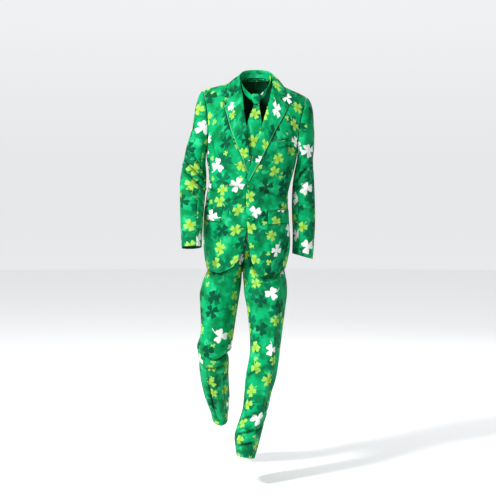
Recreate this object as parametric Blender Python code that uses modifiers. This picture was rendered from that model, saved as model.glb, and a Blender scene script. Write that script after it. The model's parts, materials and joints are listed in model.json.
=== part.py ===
"""Shamrock print suit: a jacket, trousers and tie in the form they take when worn, hollow."""

import bmesh
import bpy
import numpy as np
from mathutils import Vector

# The frame is in metres: +X is the wearer's left, -Y is the front, +Z is up.
# The origin is the middle of the neck opening, at the height of the side neck points.

CLOTH = 0.0018
DOUBLE_CLOTH = 0.0022
SEAM = 0.0005
SLEEVE_SEAM = 0.0016
LAID_ON = 0.0025
COLLAR_OFF = 0.0038

# Jacket body, from the hem up to the armpit: height, x of the wearer's right side,
# x of the left side, y of the front, y of the side seams, y of the back.
BODY = np.array([
    (-0.790, -0.197, 0.110, -0.1180, 0.008, 0.141),
    (-0.740, -0.1935, 0.1125, -0.1160, 0.008, 0.135),
    (-0.705, -0.200, 0.121, -0.1140, 0.008, 0.133),
    (-0.665, -0.205, 0.129, -0.1110, 0.007, 0.129),
    (-0.590, -0.207, 0.1295, -0.1060, 0.006, 0.116),
    (-0.520, -0.203, 0.124, -0.1030, 0.005, 0.101),
    (-0.453, -0.193, 0.1215, -0.1030, 0.004, 0.095),
    (-0.395, -0.184, 0.134, -0.1080, 0.003, 0.103),
    (-0.345, -0.187, 0.148, -0.1130, 0.004, 0.117),
    (-0.297, -0.196, 0.158, -0.1160, 0.005, 0.128),
    (-0.250, -0.203, 0.163, -0.1170, 0.006, 0.135),
])
BODY_ROUNDNESS = 2.5
ARMPIT = -0.297

# Front edges as (x, z), from the corner of the hem up to the armpit height.
EDGE = {
    "left": [(0.0100, -0.7600), (-0.0075, -0.736), (-0.0215, -0.6929), (-0.0300, -0.643),
             (-0.0344, -0.582), (-0.0385, -0.530), (-0.0400, -0.480), (-0.0395, -0.435),
             (-0.0350, -0.397), (-0.0262, -0.352), (-0.0140, -0.318), (-0.0080, ARMPIT)],
    "right": [(-0.0935, -0.7268), (-0.0779, -0.7108), (-0.0630, -0.6856), (-0.0497, -0.6539),
              (-0.0448, -0.6287), (-0.0372, -0.582), (-0.0285, -0.540), (-0.0220, -0.498),
              (-0.0180, -0.452), (-0.0172, -0.418), (-0.0195, -0.385), (-0.0246, -0.346),
              (-0.0322, ARMPIT)],
}
# Hems as (x, z), from the corner to the side seam.
HEM = {
    "left": [(0.0100, -0.7600), (0.0300, -0.7660), (0.0560, -0.7620), (0.0838, -0.7510),
             (0.1040, -0.7400), (0.1125, -0.7320)],
    "right": [(-0.0935, -0.7268), (-0.1165, -0.7398), (-0.1345, -0.7471), (-0.1631, -0.7478),
              (-0.1860, -0.7400), (-0.1945, -0.7335)],
}
# Roll line above the armpit height, up to the side of the neck: x, y, z.
ROLL = {
    "left": [(0.0110, -0.1150, -0.2240), (0.0283, -0.1060, -0.1686), (0.0379, -0.0975, -0.1364),
             (0.0475, -0.0860, -0.1039), (0.0560, -0.0680, -0.0680), (0.0605, -0.0500, -0.0445),
             (0.0650, -0.0250, -0.0250), (0.0690, 0.0050, -0.0120)],
    "right": [(-0.0412, -0.1125, -0.1941), (-0.0478, -0.1020, -0.1557), (-0.0515, -0.0930, -0.1200),
              (-0.0545, -0.0790, -0.0860), (-0.0575, -0.0640, -0.0630), (-0.0600, -0.0500, -0.0455),
              (-0.0655, -0.0250, -0.0250), (-0.0710, 0.0050, -0.0110)],
}
# Shoulder seam from the side of the neck to the shoulder point: x, y, z.
SHOULDER = {
    "left": [(0.0690, 0.0050, -0.0120), (0.1065, 0.0070, -0.0310), (0.1357, 0.0090, -0.0445),
             (0.1646, 0.0105, -0.0570), (0.1950, 0.0110, -0.0725)],
    "right": [(-0.0710, 0.0050, -0.0110), (-0.1162, 0.0070, -0.0205), (-0.1618, 0.0095, -0.0320),
              (-0.1850, 0.0105, -0.0380), (-0.2060, 0.0110, -0.0450)],
}
# Armhole loop: x of its top and bottom, z of its top, how far its sides lie nearer
# the middle, y of its middle, reach to the front and to the back.
ARMHOLE = {
    "left": (0.1950, 0.1580, -0.0725, 0.012, 0.008, 0.070, 0.080),
    "right": (-0.2060, -0.1960, -0.0450, 0.014, 0.008, 0.070, 0.080),
}
# Middle of the back above the armpit, and the back of the neck: x, y, z.
BACK_MIDDLE = [(-0.0130, 0.1380, -0.2200), (-0.0080, 0.1340, -0.1450), (-0.0050, 0.1160, -0.0800),
               (-0.0035, 0.0900, -0.0300), (-0.0030, 0.0690, -0.0020)]
BACK_NECK = {
    "left": [(-0.0030, 0.0690, -0.0020), (0.0260, 0.0640, -0.0030), (0.0520, 0.0420, -0.0070),
             (0.0690, 0.0055, -0.0120)],
    "right": [(-0.0030, 0.0690, -0.0020), (-0.0310, 0.0640, -0.0030), (-0.0560, 0.0420, -0.0065),
              (-0.0710, 0.0055, -0.0110)],
}
NECK_SHARE = 0.34

# Sleeves, one row per section from the armhole to the cuff: outer x and z, inner x and z,
# y of the middle, half depth, and how much the front of the section is raised.
SLEEVE = {
    "right": np.array([
        (-0.2085, -0.0470, -0.1975, -0.2990, 0.008, 0.074, 0.00),
        (-0.2270, -0.0610, -0.1980, -0.3050, 0.009, 0.078, 0.00),
        (-0.2350, -0.1000, -0.1985, -0.3140, 0.010, 0.079, 0.00),
        (-0.2420, -0.1450, -0.1990, -0.3240, 0.012, 0.077, 0.00),
        (-0.2516, -0.1990, -0.1990, -0.3350, 0.012, 0.073, 0.00),
        (-0.2700, -0.2570, -0.1975, -0.3490, 0.010, 0.069, 0.02),
        (-0.2828, -0.3160, -0.1955, -0.3820, 0.005, 0.066, 0.08),
        (-0.2913, -0.3590, -0.1965, -0.4170, -0.003, 0.063, 0.18),
        (-0.2964, -0.4056, -0.2000, -0.4524, -0.017, 0.061, 0.29),
        (-0.2954, -0.4639, -0.2025, -0.4910, -0.040, 0.058, 0.37),
        (-0.2939, -0.5176, -0.2050, -0.5330, -0.064, 0.055, 0.41),
        (-0.2901, -0.5861, -0.2080, -0.5937, -0.091, 0.052, 0.30),
        (-0.2855, -0.6530, -0.2101, -0.6490, -0.115, 0.050, 0.16),
    ]),
    "left": np.array([
        (0.1975, -0.0740, 0.1600, -0.3000, 0.008, 0.074, 0.00),
        (0.2125, -0.0885, 0.1600, -0.3060, 0.010, 0.078, 0.00),
        (0.2190, -0.1180, 0.1590, -0.3140, 0.013, 0.078, 0.00),
        (0.2225, -0.1650, 0.1570, -0.3240, 0.016, 0.076, 0.00),
        (0.2255, -0.2150, 0.1545, -0.3360, 0.020, 0.073, 0.00),
        (0.2245, -0.2680, 0.1510, -0.3530, 0.024, 0.069, 0.00),
        (0.2205, -0.3160, 0.1465, -0.3790, 0.028, 0.066, 0.00),
        (0.2243, -0.3700, 0.1425, -0.4120, 0.032, 0.063, 0.01),
        (0.2268, -0.4250, 0.1400, -0.4520, 0.034, 0.060, 0.02),
        (0.2290, -0.4800, 0.1395, -0.4970, 0.035, 0.057, 0.03),
        (0.2301, -0.5350, 0.1404, -0.5450, 0.036, 0.055, 0.04),
        (0.2285, -0.6050, 0.1430, -0.6000, 0.038, 0.052, 0.05),
        (0.2215, -0.7030, 0.1415, -0.6805, 0.040, 0.050, 0.05),
    ]),
}
TOP_SLEEVE = (-75.0, 120.0)
UNDER_SLEEVE = (120.0, 285.0)
TUBE_ROUNDNESS = 2.15

# Legs, one row per section from the crotch to the hem: the same columns as the sleeves.
LEG = {
    "right": np.array([
        (-0.1905, -0.7450, -0.0570, -0.7450, 0.0110, 0.098, 0.00),
        (-0.2105, -0.7900, -0.0592, -0.7900, 0.0130, 0.101, 0.00),
        (-0.2211, -0.8350, -0.0655, -0.8350, 0.0120, 0.100, 0.00),
        (-0.2196, -0.8900, -0.0741, -0.8900, 0.0080, 0.094, 0.00),
        (-0.2168, -0.9450, -0.0827, -0.9450, 0.0040, 0.088, 0.00),
        (-0.2196, -1.0000, -0.0909, -1.0000, 0.0030, 0.084, -0.02),
        (-0.2320, -1.0400, -0.0995, -1.0400, 0.0100, 0.083, -0.10),
        (-0.2280, -1.0700, -0.1150, -1.0700, 0.0220, 0.083, -0.22),
        (-0.2260, -1.1020, -0.1090, -1.1020, 0.0420, 0.083, -0.34),
        (-0.2232, -1.1600, -0.1110, -1.1600, 0.0790, 0.082, -0.44),
        (-0.2137, -1.2180, -0.1094, -1.2180, 0.1130, 0.080, -0.48),
        (-0.2011, -1.2660, -0.1074, -1.2660, 0.1430, 0.079, -0.50),
        (-0.1871, -1.3080, -0.1110, -1.3120, 0.1690, 0.078, -0.40),
        (-0.1793, -1.3500, -0.1156, -1.3600, 0.1880, 0.078, -0.26),
    ]),
    "left": np.array([
        (0.1090, -0.7450, -0.0540, -0.7450, 0.0030, 0.098, 0.00),
        (0.1170, -0.7900, -0.0505, -0.7900, -0.0100, 0.101, 0.02),
        (0.1182, -0.8343, -0.0469, -0.8343, -0.0290, 0.102, 0.06),
        (0.1108, -0.8887, -0.0367, -0.8887, -0.0500, 0.096, 0.10),
        (0.1034, -0.9426, -0.0300, -0.9426, -0.0700, 0.090, 0.14),
        (0.0958, -0.9963, -0.0253, -0.9963, -0.0880, 0.086, 0.16),
        (0.0890, -1.0505, -0.0252, -1.0505, -0.1000, 0.083, 0.16),
        (0.0832, -1.0972, -0.0328, -1.0972, -0.1080, 0.080, 0.14),
        (0.0735, -1.1534, -0.0427, -1.1534, -0.1150, 0.078, 0.13),
        (0.0548, -1.2133, -0.0476, -1.2133, -0.1220, 0.077, 0.13),
        (0.0437, -1.2690, -0.0539, -1.2690, -0.1300, 0.077, 0.13),
        (0.0284, -1.3209, -0.0709, -1.3209, -0.1370, 0.078, 0.13),
        (0.0170, -1.3653, -0.0841, -1.3653, -0.1430, 0.079, 0.13),
        (0.0049, -1.4094, -0.0813, -1.4050, -0.1500, 0.080, 0.13),
        (-0.0076, -1.4520, -0.0764, -1.4400, -0.1550, 0.079, 0.13),
    ]),
}
# Largest folds of the sleeves and legs. Each runs from one section and angle to another:
# from (row of the table, angle) to (row, angle), half width and height, a trough below 0.
SLEEVE_FOLDS = {
    "right": [(5.5, 40, 6.1, 165, 0.011, 0.0040), (6.2, 25, 6.8, 160, 0.010, -0.0045),
              (6.9, 40, 7.4, 175, 0.011, 0.0045), (7.5, 55, 8.1, 180, 0.010, -0.0040),
              (8.3, 60, 8.9, 150, 0.012, 0.0025), (5.2, 190, 7.8, 185, 0.014, -0.0030)],
    "left": [(6.0, 60, 6.5, 150, 0.012, -0.0030), (6.7, 50, 7.2, 140, 0.012, 0.0030),
             (7.4, 60, 7.9, 150, 0.012, -0.0025)],
}
LEG_FOLDS = {
    "right": [(6.1, 70, 6.3, 170, 0.014, 0.0040), (6.9, 50, 7.0, 180, 0.012, -0.0050),
              (7.6, 60, 7.8, 170, 0.014, 0.0035), (8.0, 70, 12.0, 80, 0.013, -0.0045),
              (8.2, 105, 12.8, 108, 0.014, 0.0035), (8.4, 135, 12.6, 140, 0.013, -0.0045),
              (6.8, 290, 7.2, 240, 0.016, -0.0040), (7.6, 300, 7.9, 250, 0.016, 0.0035)],
    "left": [(0.5, 61, 14.0, 66, 0.012, 0.0030), (11.2, 60, 11.0, 150, 0.013, 0.0035),
             (11.9, 40, 11.8, 150, 0.012, -0.0045), (12.5, 50, 12.4, 140, 0.012, 0.0040),
             (13.1, 60, 13.0, 130, 0.012, -0.0035), (11.6, 300, 11.9, 220, 0.015, -0.0040)],
}
SLEEVE_STEP = 0.050
LEG_STEP = 0.052

# Hips of the trousers, from the waist down to the crotch: height, x of the right side,
# x of the left side, x of the middle, y of the front, y of the side seams, y of the back.
HIPS = np.array([
    (-0.745, -0.1905, 0.1090, -0.0555, -0.0960, 0.006, 0.112),
    (-0.700, -0.1945, 0.1150, -0.0480, -0.0965, 0.006, 0.114),
    (-0.640, -0.1985, 0.1220, -0.0410, -0.0960, 0.005, 0.112),
    (-0.570, -0.1945, 0.1190, -0.0380, -0.0945, 0.004, 0.101),
    (-0.490, -0.1790, 0.1080, -0.0360, -0.0900, 0.003, 0.085),
    (-0.450, -0.1745, 0.1040, -0.0350, -0.0890, 0.003, 0.082),
])
WAIST = -0.490
CROTCH = -0.745
RISE_FROM = -0.630
WAISTBAND_TOP = -0.452

# Lapels: outer edges as (x, z) from the lowest point up to the tip, then the notch.
LAPEL_EDGE = {
    "left": [(-0.0300, -0.4000), (-0.0080, -0.3600), (0.0156, -0.3174), (0.0443, -0.2604),
             (0.0695, -0.2097), (0.0853, -0.1806), (0.1113, -0.1330), (0.1215, -0.1090)],
    "right": [(-0.0240, -0.3830), (-0.0352, -0.3650), (-0.0537, -0.3113), (-0.0698, -0.2751),
              (-0.0855, -0.2352), (-0.1006, -0.1923), (-0.1150, -0.1382), (-0.1275, -0.0960)],
}
LAPEL_FROM = {"left": -0.394, "right": -0.380}
LAPEL_NOTCH = {"left": (0.0892, -0.0836), "right": (-0.0923, -0.0736)}
COLLAR_TIP = {"left": (0.1134, -0.0730), "right": (-0.1157, -0.0580)}

# Collar, half of its stations from the gorge to the middle of the back: the roll at the top
# of the stand (x, y, z), then x and y of the outer edge, which lies on the shoulders.
COLLAR = {
    "left": [(0.0607, -0.0510, -0.0434, 0.0892, -0.0660), (0.0640, -0.0280, -0.0130, 0.1090, -0.0300),
             (0.0660, 0.0000, 0.0070, 0.1040, 0.0020), (0.0610, 0.0300, 0.0210, 0.0920, 0.0320),
             (0.0450, 0.0550, 0.0330, 0.0680, 0.0560), (0.0220, 0.0680, 0.0385, 0.0360, 0.0790),
             (-0.0030, 0.0720, 0.0400, -0.0030, 0.0880)],
    "right": [(-0.0600, -0.0510, -0.0407, -0.0923, -0.0620), (-0.0650, -0.0280, -0.0150, -0.1110, -0.0300),
              (-0.0675, 0.0000, 0.0040, -0.1060, 0.0020), (-0.0640, 0.0300, 0.0190, -0.0950, 0.0320),
              (-0.0500, 0.0550, 0.0325, -0.0740, 0.0560), (-0.0280, 0.0680, 0.0385, -0.0420, 0.0790),
              (-0.0030, 0.0720, 0.0400, -0.0030, 0.0880)],
}

# Pockets on the fronts: corners as (x, z), top front, top back, bottom back, bottom front.
POCKET_FLAP = {
    "left": [(0.0440, -0.5120), (0.1215, -0.5080), (0.1230, -0.5560), (0.0440, -0.5640)],
    "right": [(-0.1290, -0.5020), (-0.1975, -0.4960), (-0.2010, -0.5440), (-0.1380, -0.5530)],
}
BREAST_WELT = [(0.0790, -0.2480), (0.1280, -0.2360), (0.1290, -0.2590), (0.0800, -0.2710)]

# Buttons on the left front: x, z; their radius and thickness.
BUTTONS = {"button_upper": (-0.0205, -0.4190), "button_lower": (-0.0185, -0.5415)}
BUTTON_RADIUS = 0.0100
BUTTON_THICKNESS = 0.0034

# Tie blade, from the knot down: height, x and y of the middle, half width.
TIE_BLADE = np.array([
    (-0.1046, 0.0002, -0.0850, 0.0105), (-0.1240, -0.0022, -0.0900, 0.0135),
    (-0.1460, -0.0045, -0.0945, 0.0207), (-0.1700, -0.0070, -0.0990, 0.0262),
    (-0.1940, -0.0103, -0.1025, 0.0295), (-0.2400, -0.0145, -0.1060, 0.0320),
    (-0.3000, -0.0205, -0.1070, 0.0335), (-0.3600, -0.0265, -0.1055, 0.0350),
    (-0.4120, -0.0310, -0.1015, 0.0360), (-0.4450, -0.0330, -0.0990, 0.0030),
])
# Tie knot, from its top down: height, x and y of the middle, half width, half depth.
TIE_KNOT = np.array([
    (-0.0640, -0.0033, -0.0700, 0.0135, 0.0075), (-0.0700, -0.0033, -0.0725, 0.0175, 0.0100),
    (-0.0800, -0.0030, -0.0765, 0.0190, 0.0115), (-0.0900, -0.0018, -0.0800, 0.0155, 0.0110),
    (-0.1000, -0.0003, -0.0835, 0.0115, 0.0090), (-0.1040, 0.0000, -0.0850, 0.0105, 0.0070),
])
# Tie neckband, half of its stations from the knot to the back: x, y, z of its middle.
TIE_BAND = [(0.0180, -0.0705, -0.0770), (0.0360, -0.0560, -0.0600), (0.0520, -0.0310, -0.0370),
            (0.0590, 0.0020, -0.0140), (0.0560, 0.0310, 0.0030), (0.0390, 0.0540, 0.0140),
            (0.0190, 0.0645, 0.0180), (0.0000, 0.0672, 0.0190)]
TIE_BAND_MIDDLE = -0.0033
TIE_BAND_HALF_HEIGHT = 0.0110

# Share of a body panel's length that lies below the armpit.
LOW_SHARE = 0.6

# Rows and columns of the panels. A sleeve's rows are those above, at and below the elbow,
# which takes up this part of its length.
FRONT_ROWS_LOW = 14
FRONT_ROWS_HIGH = 10
FRONT_COLUMNS = 11
BACK_COLUMNS = 10
SLEEVE_ROWS = (8, 12, 4)
SLEEVE_ELBOW = (0.42, 0.76)
TOP_SLEEVE_COLUMNS = 12
UNDER_SLEEVE_COLUMNS = 9
HIP_ROWS = 6
LEG_ROWS = 25
LEG_COLUMNS = 11
LAPEL_ROWS = 15
COLLAR_ROWS = 25

GREEN = (0.008, 0.30, 0.09, 1.0)
DARK_GREEN = (0.004, 0.13, 0.05, 1.0)

OUTWARD = {"left": 1.0, "right": -1.0}


def smooth(at, knots, values):
    """A smooth curve through values given at rising knots."""
    knots = np.asarray(knots, float)
    values = np.asarray(values, float)
    slopes = np.gradient(values, knots, axis=0)
    at = np.clip(np.asarray(at, float), knots[0], knots[-1])
    i = np.clip(np.searchsorted(knots, at, side="right") - 1, 0, len(knots) - 2)
    wide = knots[i + 1] - knots[i]
    f = (at - knots[i]) / wide
    if values.ndim > 1:
        wide = wide[..., None]
        f = f[..., None]
    start = (1 + 2 * f) * (1 - f) ** 2 * values[i] + f * (1 - f) ** 2 * wide * slopes[i]
    end = f * f * (3 - 2 * f) * values[i + 1] + f * f * (f - 1) * wide * slopes[i + 1]
    return start + end


def along(points, f):
    """A smooth curve through points, f running from 0 to 1 with its length."""
    points = np.asarray(points, float)
    steps = np.linalg.norm(np.diff(points, axis=0), axis=1)
    knots = np.concatenate([[0.0], np.cumsum(steps)]) / steps.sum()
    return smooth(f, knots, points)


def ease(x):
    """0 below 0, 1 above 1, and smooth between."""
    x = np.clip(x, 0.0, 1.0)
    return x * x * (3 - 2 * x)


def mix(a, b, share):
    return a + (b - a) * share


def stack(x, y, z):
    return np.stack(np.broadcast_arrays(x, y, z), axis=-1)


def power(value, exponent):
    return np.sign(value) * np.abs(value) ** exponent


def body_ring(turn, z, front):
    """A point of the jacket body: turn is -90 degrees at the right side, 90 at the left."""
    row = smooth(z, BODY[:, 0], BODY[:, 1:])
    middle = (row[..., 0] + row[..., 1]) / 2
    half = (row[..., 1] - row[..., 0]) / 2
    s = np.sin(turn)
    reach = (1 - np.minimum(np.abs(s), 1.0) ** BODY_ROUNDNESS) ** (1 / BODY_ROUNDNESS)
    far = row[..., 2] if front else row[..., 4]
    return stack(middle + half * s, row[..., 3] + (far - row[..., 3]) * reach, z)


def body_turn(x, z):
    """The turn at which the jacket body has this x."""
    row = smooth(z, BODY[:, 0], BODY[:, 1:])
    middle = (row[..., 0] + row[..., 1]) / 2
    half = (row[..., 1] - row[..., 0]) / 2
    return np.arcsin(np.clip((x - middle) / half, -1.0, 1.0))


def armhole(side, angle):
    """A point of the armhole loop: 0 is its top, 90 its front, 180 its bottom, 270 its back."""
    x_top, x_bottom, z_top, inward, y_middle, to_front, to_back = ARMHOLE[side]
    c = np.cos(np.radians(angle))
    s = np.sin(np.radians(angle))
    x = mix(x_bottom, x_top, (1 + c) / 2) - OUTWARD[side] * inward * s * s
    y = y_middle - np.where(s > 0, to_front, to_back) * s
    z = mix(ARMPIT, z_top, (1 + c) / 2)
    return stack(x, y, z)


def coons(bottom, top, left, right, u, v, share):
    """A patch between four curves whose ends meet; share says how far up v is."""
    corner_a = bottom(u * 0)
    corner_b = bottom(u * 0 + 1)
    corner_c = top(u * 0)
    corner_d = top(u * 0 + 1)
    u = u[..., None]
    share = share[..., None] if np.ndim(share) == np.ndim(v) else share
    across = mix(bottom(u[..., 0]), top(u[..., 0]), share)
    left_gap = left(v) - mix(corner_a, corner_c, share)
    right_gap = right(v) - mix(corner_b, corner_d, share)
    return across + mix(left_gap, right_gap, u)


def low_patch(side, u, v, edge, hem, front):
    """The part of a body panel below the armpit, v from 0 at the hem to 1."""
    limit = OUTWARD[side] * np.pi / 2

    def in_turns(points):
        points = np.asarray(points)
        return np.stack([body_turn(points[..., 0], points[..., 1]), points[..., 1]], axis=-1)

    hem_turns = in_turns(np.asarray(hem))
    hem_turns[-1, 0] = limit
    hem_share = (hem_turns[:, 0] - hem_turns[0, 0]) / (limit - hem_turns[0, 0])

    def bottom(f):
        return stack(mix(hem_turns[0, 0], limit, f), smooth(f, hem_share, hem_turns[:, 1]), 0)

    def left(f):
        turned = in_turns(along(edge, f))
        return stack(turned[..., 0], turned[..., 1], 0)

    edge_top = left(np.ones(1))[0, 0]

    def top(f):
        return stack(mix(edge_top, limit, f), ARMPIT + f * 0, 0)

    def right(f):
        return stack(limit + f * 0, mix(hem[-1][1], ARMPIT, f), 0)

    turned = coons(bottom, top, left, right, u, v, v)
    return body_ring(turned[..., 0], turned[..., 1], front)


def high_patch(side, u, t, low_edge_x, middle, top, loop_to, front):
    """The part of a body panel above the armpit, t from 0 up to 1 at the shoulder."""
    limit = OUTWARD[side] * np.pi / 2
    turn_0 = body_turn(np.array(low_edge_x), np.array(ARMPIT))
    first = body_ring(turn_0, np.array(ARMPIT), front)
    middle = np.concatenate([[first], middle])
    # As the armhole comes forward (or goes back), the body section that is carried up
    # ends at that same depth.
    row = smooth(ARMPIT, BODY[:, 0], BODY[:, 1:])
    far = abs((row[2] if front else row[4]) - row[3])
    reach_out = ARMHOLE[side][5 if front else 6] / far * np.sin(np.pi * np.minimum(t, 0.5))
    end_turn = OUTWARD[side] * np.arcsin((1 - reach_out ** BODY_ROUNDNESS) ** (1 / BODY_ROUNDNESS))
    end_turn = mix(limit, end_turn, 0.95)

    def bottom(f):
        return body_ring(mix(turn_0, end_turn, f), ARMPIT + f * 0, front)

    def left(f):
        return along(middle, mix(f, np.sin(f * np.pi / 2), 0.6))

    def right(f):
        return armhole(side, mix(180.0, loop_to, f))

    sideways = coons(bottom, top, left, right, u, t, t)
    forward = coons(bottom, top, left, right, u, t, 1 - np.cos(t * np.pi / 2))
    upright = coons(bottom, top, left, right, u, t, np.sin(t * np.pi / 2))
    return stack(sideways[..., 0], forward[..., 1], upright[..., 2])


def front_point(side, u, v):
    """A point of a front: u from the front edge to the side, v from the hem to the shoulder."""
    u = np.asarray(u, float)
    v = np.asarray(v, float)
    low = low_patch(side, u, np.clip(v / LOW_SHARE, 0, 1), EDGE[side], HEM[side], True)
    t = np.clip((v - LOW_SHARE) / (1 - LOW_SHARE), 0, 1)

    def top(f):
        return along(SHOULDER[side], f)

    high = high_patch(side, u, t, EDGE[side][-1][0], ROLL[side], top, 0.0, True)
    point = np.where((v < LOW_SHARE)[..., None], low, high)
    # The left front is carried over the right one where they lap.
    edge_x = np.interp(point[..., 2], *np.array(EDGE[side])[:, ::-1].T)
    near = 1 - ease((np.abs(point[..., 0] - edge_x) - 0.025) / 0.045)
    near = near * ease((-0.25 - point[..., 2]) / 0.06)
    bump = np.exp(-((point[..., 2] + 0.362) / 0.055) ** 2)
    lift = -0.0013 - 0.0041 * bump if side == "left" else 0.0013 + 0.0004 * bump
    point[..., 1] += lift * near
    # The forward thigh pushes the left front out above its hem.
    if side == "left":
        push = ease((-0.640 - point[..., 2]) / 0.11) * 0.0120
        aside = np.exp(-((point[..., 0] - 0.04) / 0.090) ** 2)
        point[..., 1] -= push * aside
    return point


def back_point(side, u, v):
    """A point of a back: u from the middle to the side, v from the hem to the shoulder."""
    u = np.asarray(u, float)
    v = np.asarray(v, float)
    heights = np.linspace(-0.760, ARMPIT, 9)
    row = smooth(heights, BODY[:, 0], BODY[:, 1:])
    middle_x = (row[:, 0] + row[:, 1]) / 2
    edge = np.stack([middle_x, heights], axis=-1)
    side_x, side_z = HEM[side][-1]
    hem = [(middle_x[0], -0.760), (mix(middle_x[0], side_x, 0.5), -0.755), (side_x, side_z)]
    low = low_patch(side, u, np.clip(v / LOW_SHARE, 0, 1), edge, hem, False)
    t = np.clip((v - LOW_SHARE) / (1 - LOW_SHARE), 0, 1)

    def top(f):
        neck = along(BACK_NECK[side], f / NECK_SHARE)
        shoulder = along(SHOULDER[side], (f - NECK_SHARE) / (1 - NECK_SHARE))
        return np.where((f < NECK_SHARE)[..., None], neck, shoulder)

    high = high_patch(side, u, t, middle_x[-1], BACK_MIDDLE, top, 360.0, False)
    return np.where((v < LOW_SHARE)[..., None], low, high)


def folded(points, middles, along_tube, angle, step, girth, folds):
    """The points moved out or in along the folds; step is the length of a row of the table."""
    a = np.radians(angle) * girth
    b = along_tube * step
    height = np.zeros(np.broadcast(a, b).shape)
    for b0, a0, b1, a1, half, rise in folds:
        start = np.array([np.radians(a0) * girth, b0 * step])
        end = np.array([np.radians(a1) * girth, b1 * step])
        run = end - start
        share = ((a - start[0]) * run[0] + (b - start[1]) * run[1]) / (run @ run)
        share = np.clip(share, 0, 1)
        off = np.hypot(a - start[0] - share * run[0], b - start[1] - share * run[1])
        height = height + rise * np.exp(-(off / half) ** 2) * (0.35 + 0.65 * np.sin(np.pi * share))
    out = points - middles
    out = out / np.linalg.norm(out, axis=-1, keepdims=True)
    return points + out * height[..., None]


def tube_ring(row, angle):
    """A section of a sleeve or leg: 0 is its outer side, 90 its front, 180 its inner side."""
    c = power(np.cos(np.radians(angle)), 2 / TUBE_ROUNDNESS)
    s = power(np.sin(np.radians(angle)), 2 / TUBE_ROUNDNESS)
    x = (row[..., 0] + row[..., 2]) / 2 + (row[..., 0] - row[..., 2]) / 2 * c
    z = (row[..., 1] + row[..., 3]) / 2 + (row[..., 1] - row[..., 3]) / 2 * c
    return stack(x, row[..., 4] - row[..., 5] * s, z + row[..., 6] * row[..., 5] * s)


def sleeve_point(side, angle, f):
    """A point of a sleeve: f from 0 at the armhole to 1 at the cuff."""
    angle = np.asarray(angle, float)
    table = SLEEVE[side]
    at = np.asarray(f, float) * (len(table) - 1)
    row = smooth(at, np.arange(len(table)), table)
    ring = tube_ring(row, angle)
    loop = armhole(side, angle) + np.array([OUTWARD[side] * 0.0022, 0.0, -0.0012])
    point = mix(loop, ring, ease(at / 2.5)[..., None])
    middle = stack((row[..., 0] + row[..., 2]) / 2, row[..., 4], (row[..., 1] + row[..., 3]) / 2)
    return folded(point, middle, at, angle, SLEEVE_STEP, 0.055, SLEEVE_FOLDS[side])


def leg_point(side, angle, at):
    """A point of a leg below the crotch: at counts the rows of its table."""
    table = LEG[side]
    row = smooth(at, np.arange(len(table)), table)
    angle = np.asarray(angle, float)
    middle = stack((row[..., 0] + row[..., 2]) / 2, row[..., 4], (row[..., 1] + row[..., 3]) / 2)
    wrapped = np.where(angle < -60, angle + 360, angle)
    return folded(tube_ring(row, angle), middle, at, wrapped, LEG_STEP, 0.070, LEG_FOLDS[side])


def hip_point(side, share, z, front):
    """A point of the trousers above the crotch: share 0 at the side seam, 1 at the middle."""
    row = smooth(z, HIPS[:, 0], HIPS[:, 1:])
    side_x = row[..., 1] if side == "left" else row[..., 0]
    middle_x = row[..., 2]
    far = row[..., 3] if front else row[..., 5]
    turn = share * np.pi / 2
    c = np.cos(turn) ** (2 / 2.3)
    s = np.sin(turn) ** (2 / 2.3)
    hip = stack(middle_x + (side_x - middle_x) * c, row[..., 4] + (far - row[..., 4]) * s, z)
    crotch = LEG[side][0].copy()
    turn = share * np.pi
    c = power(np.cos(turn), 2 / TUBE_ROUNDNESS)
    s = power(np.sin(turn), 2 / TUBE_ROUNDNESS)
    reach = crotch[5] * (-1 if front else 1)
    leg = stack((side_x + middle_x) / 2 + (side_x - middle_x) / 2 * c, crotch[4] + reach * s, z)
    drawn_in = ease((z - CROTCH) / (RISE_FROM - CROTCH))
    return mix(leg, hip, drawn_in[..., None])


def trouser_point(side, share, row, front):
    """A point of a trouser panel: row from 0 at the waist, HIP_ROWS at the crotch, to the hem."""
    share, row = np.broadcast_arrays(np.asarray(share, float), np.asarray(row, float))
    z = mix(WAIST, CROTCH, np.clip(row / HIP_ROWS, 0, 1))
    hip = hip_point(side, share, z, front)
    down = np.clip((row - HIP_ROWS) / LEG_ROWS, 0, 1) * (len(LEG[side]) - 1)
    leg = leg_point(side, share * 180.0 * (1 if front else -1), down)
    # The two middles meet in the crotch, which the rows just below still share.
    return np.where((row < HIP_ROWS)[..., None], hip, leg)


def grid(point, us, vs):
    """The points of a surface on a grid, a row for each v."""
    u, v = np.meshgrid(us, vs)
    return point(u, v)


def normals(point, u, v, flip=1.0):
    """The unit normals of a surface."""
    step = 1e-4
    du = point(np.clip(u + step, 0, 1), v) - point(np.clip(u - step, 0, 1), v)
    dv = point(u, np.clip(v + step, 0, 1)) - point(u, np.clip(v - step, 0, 1))
    n = np.cross(du, dv) * flip
    return n / np.linalg.norm(n, axis=-1, keepdims=True)


def locate(point, x, z, u, v):
    """The u and v at which a front has this x and z."""
    x, z, u, v = (np.array(a, float) for a in np.broadcast_arrays(x, z, u, v))
    step = 1e-4
    for _ in range(25):
        here = point(u, v)
        du = (point(u + step, v) - here) / step
        dv = (point(u, v + step) - here) / step
        gap_x = x - here[..., 0]
        gap_z = z - here[..., 2]
        det = du[..., 0] * dv[..., 2] - dv[..., 0] * du[..., 2]
        det = np.where(np.abs(det) < 1e-6, 1e-6, det)
        u = np.clip(u + 0.7 * (gap_x * dv[..., 2] - gap_z * dv[..., 0]) / det, 0.0, 0.999)
        v = np.clip(v + 0.7 * (du[..., 0] * gap_z - du[..., 2] * gap_x) / det, 0.0, 0.999)
    return u, v


def trimmed(count, length_at_ends):
    """Shares from 0 to 1 drawn in at both ends by half a seam."""
    inset = SEAM / 2 / length_at_ends
    return np.linspace(inset, 1 - inset, count)


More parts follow.
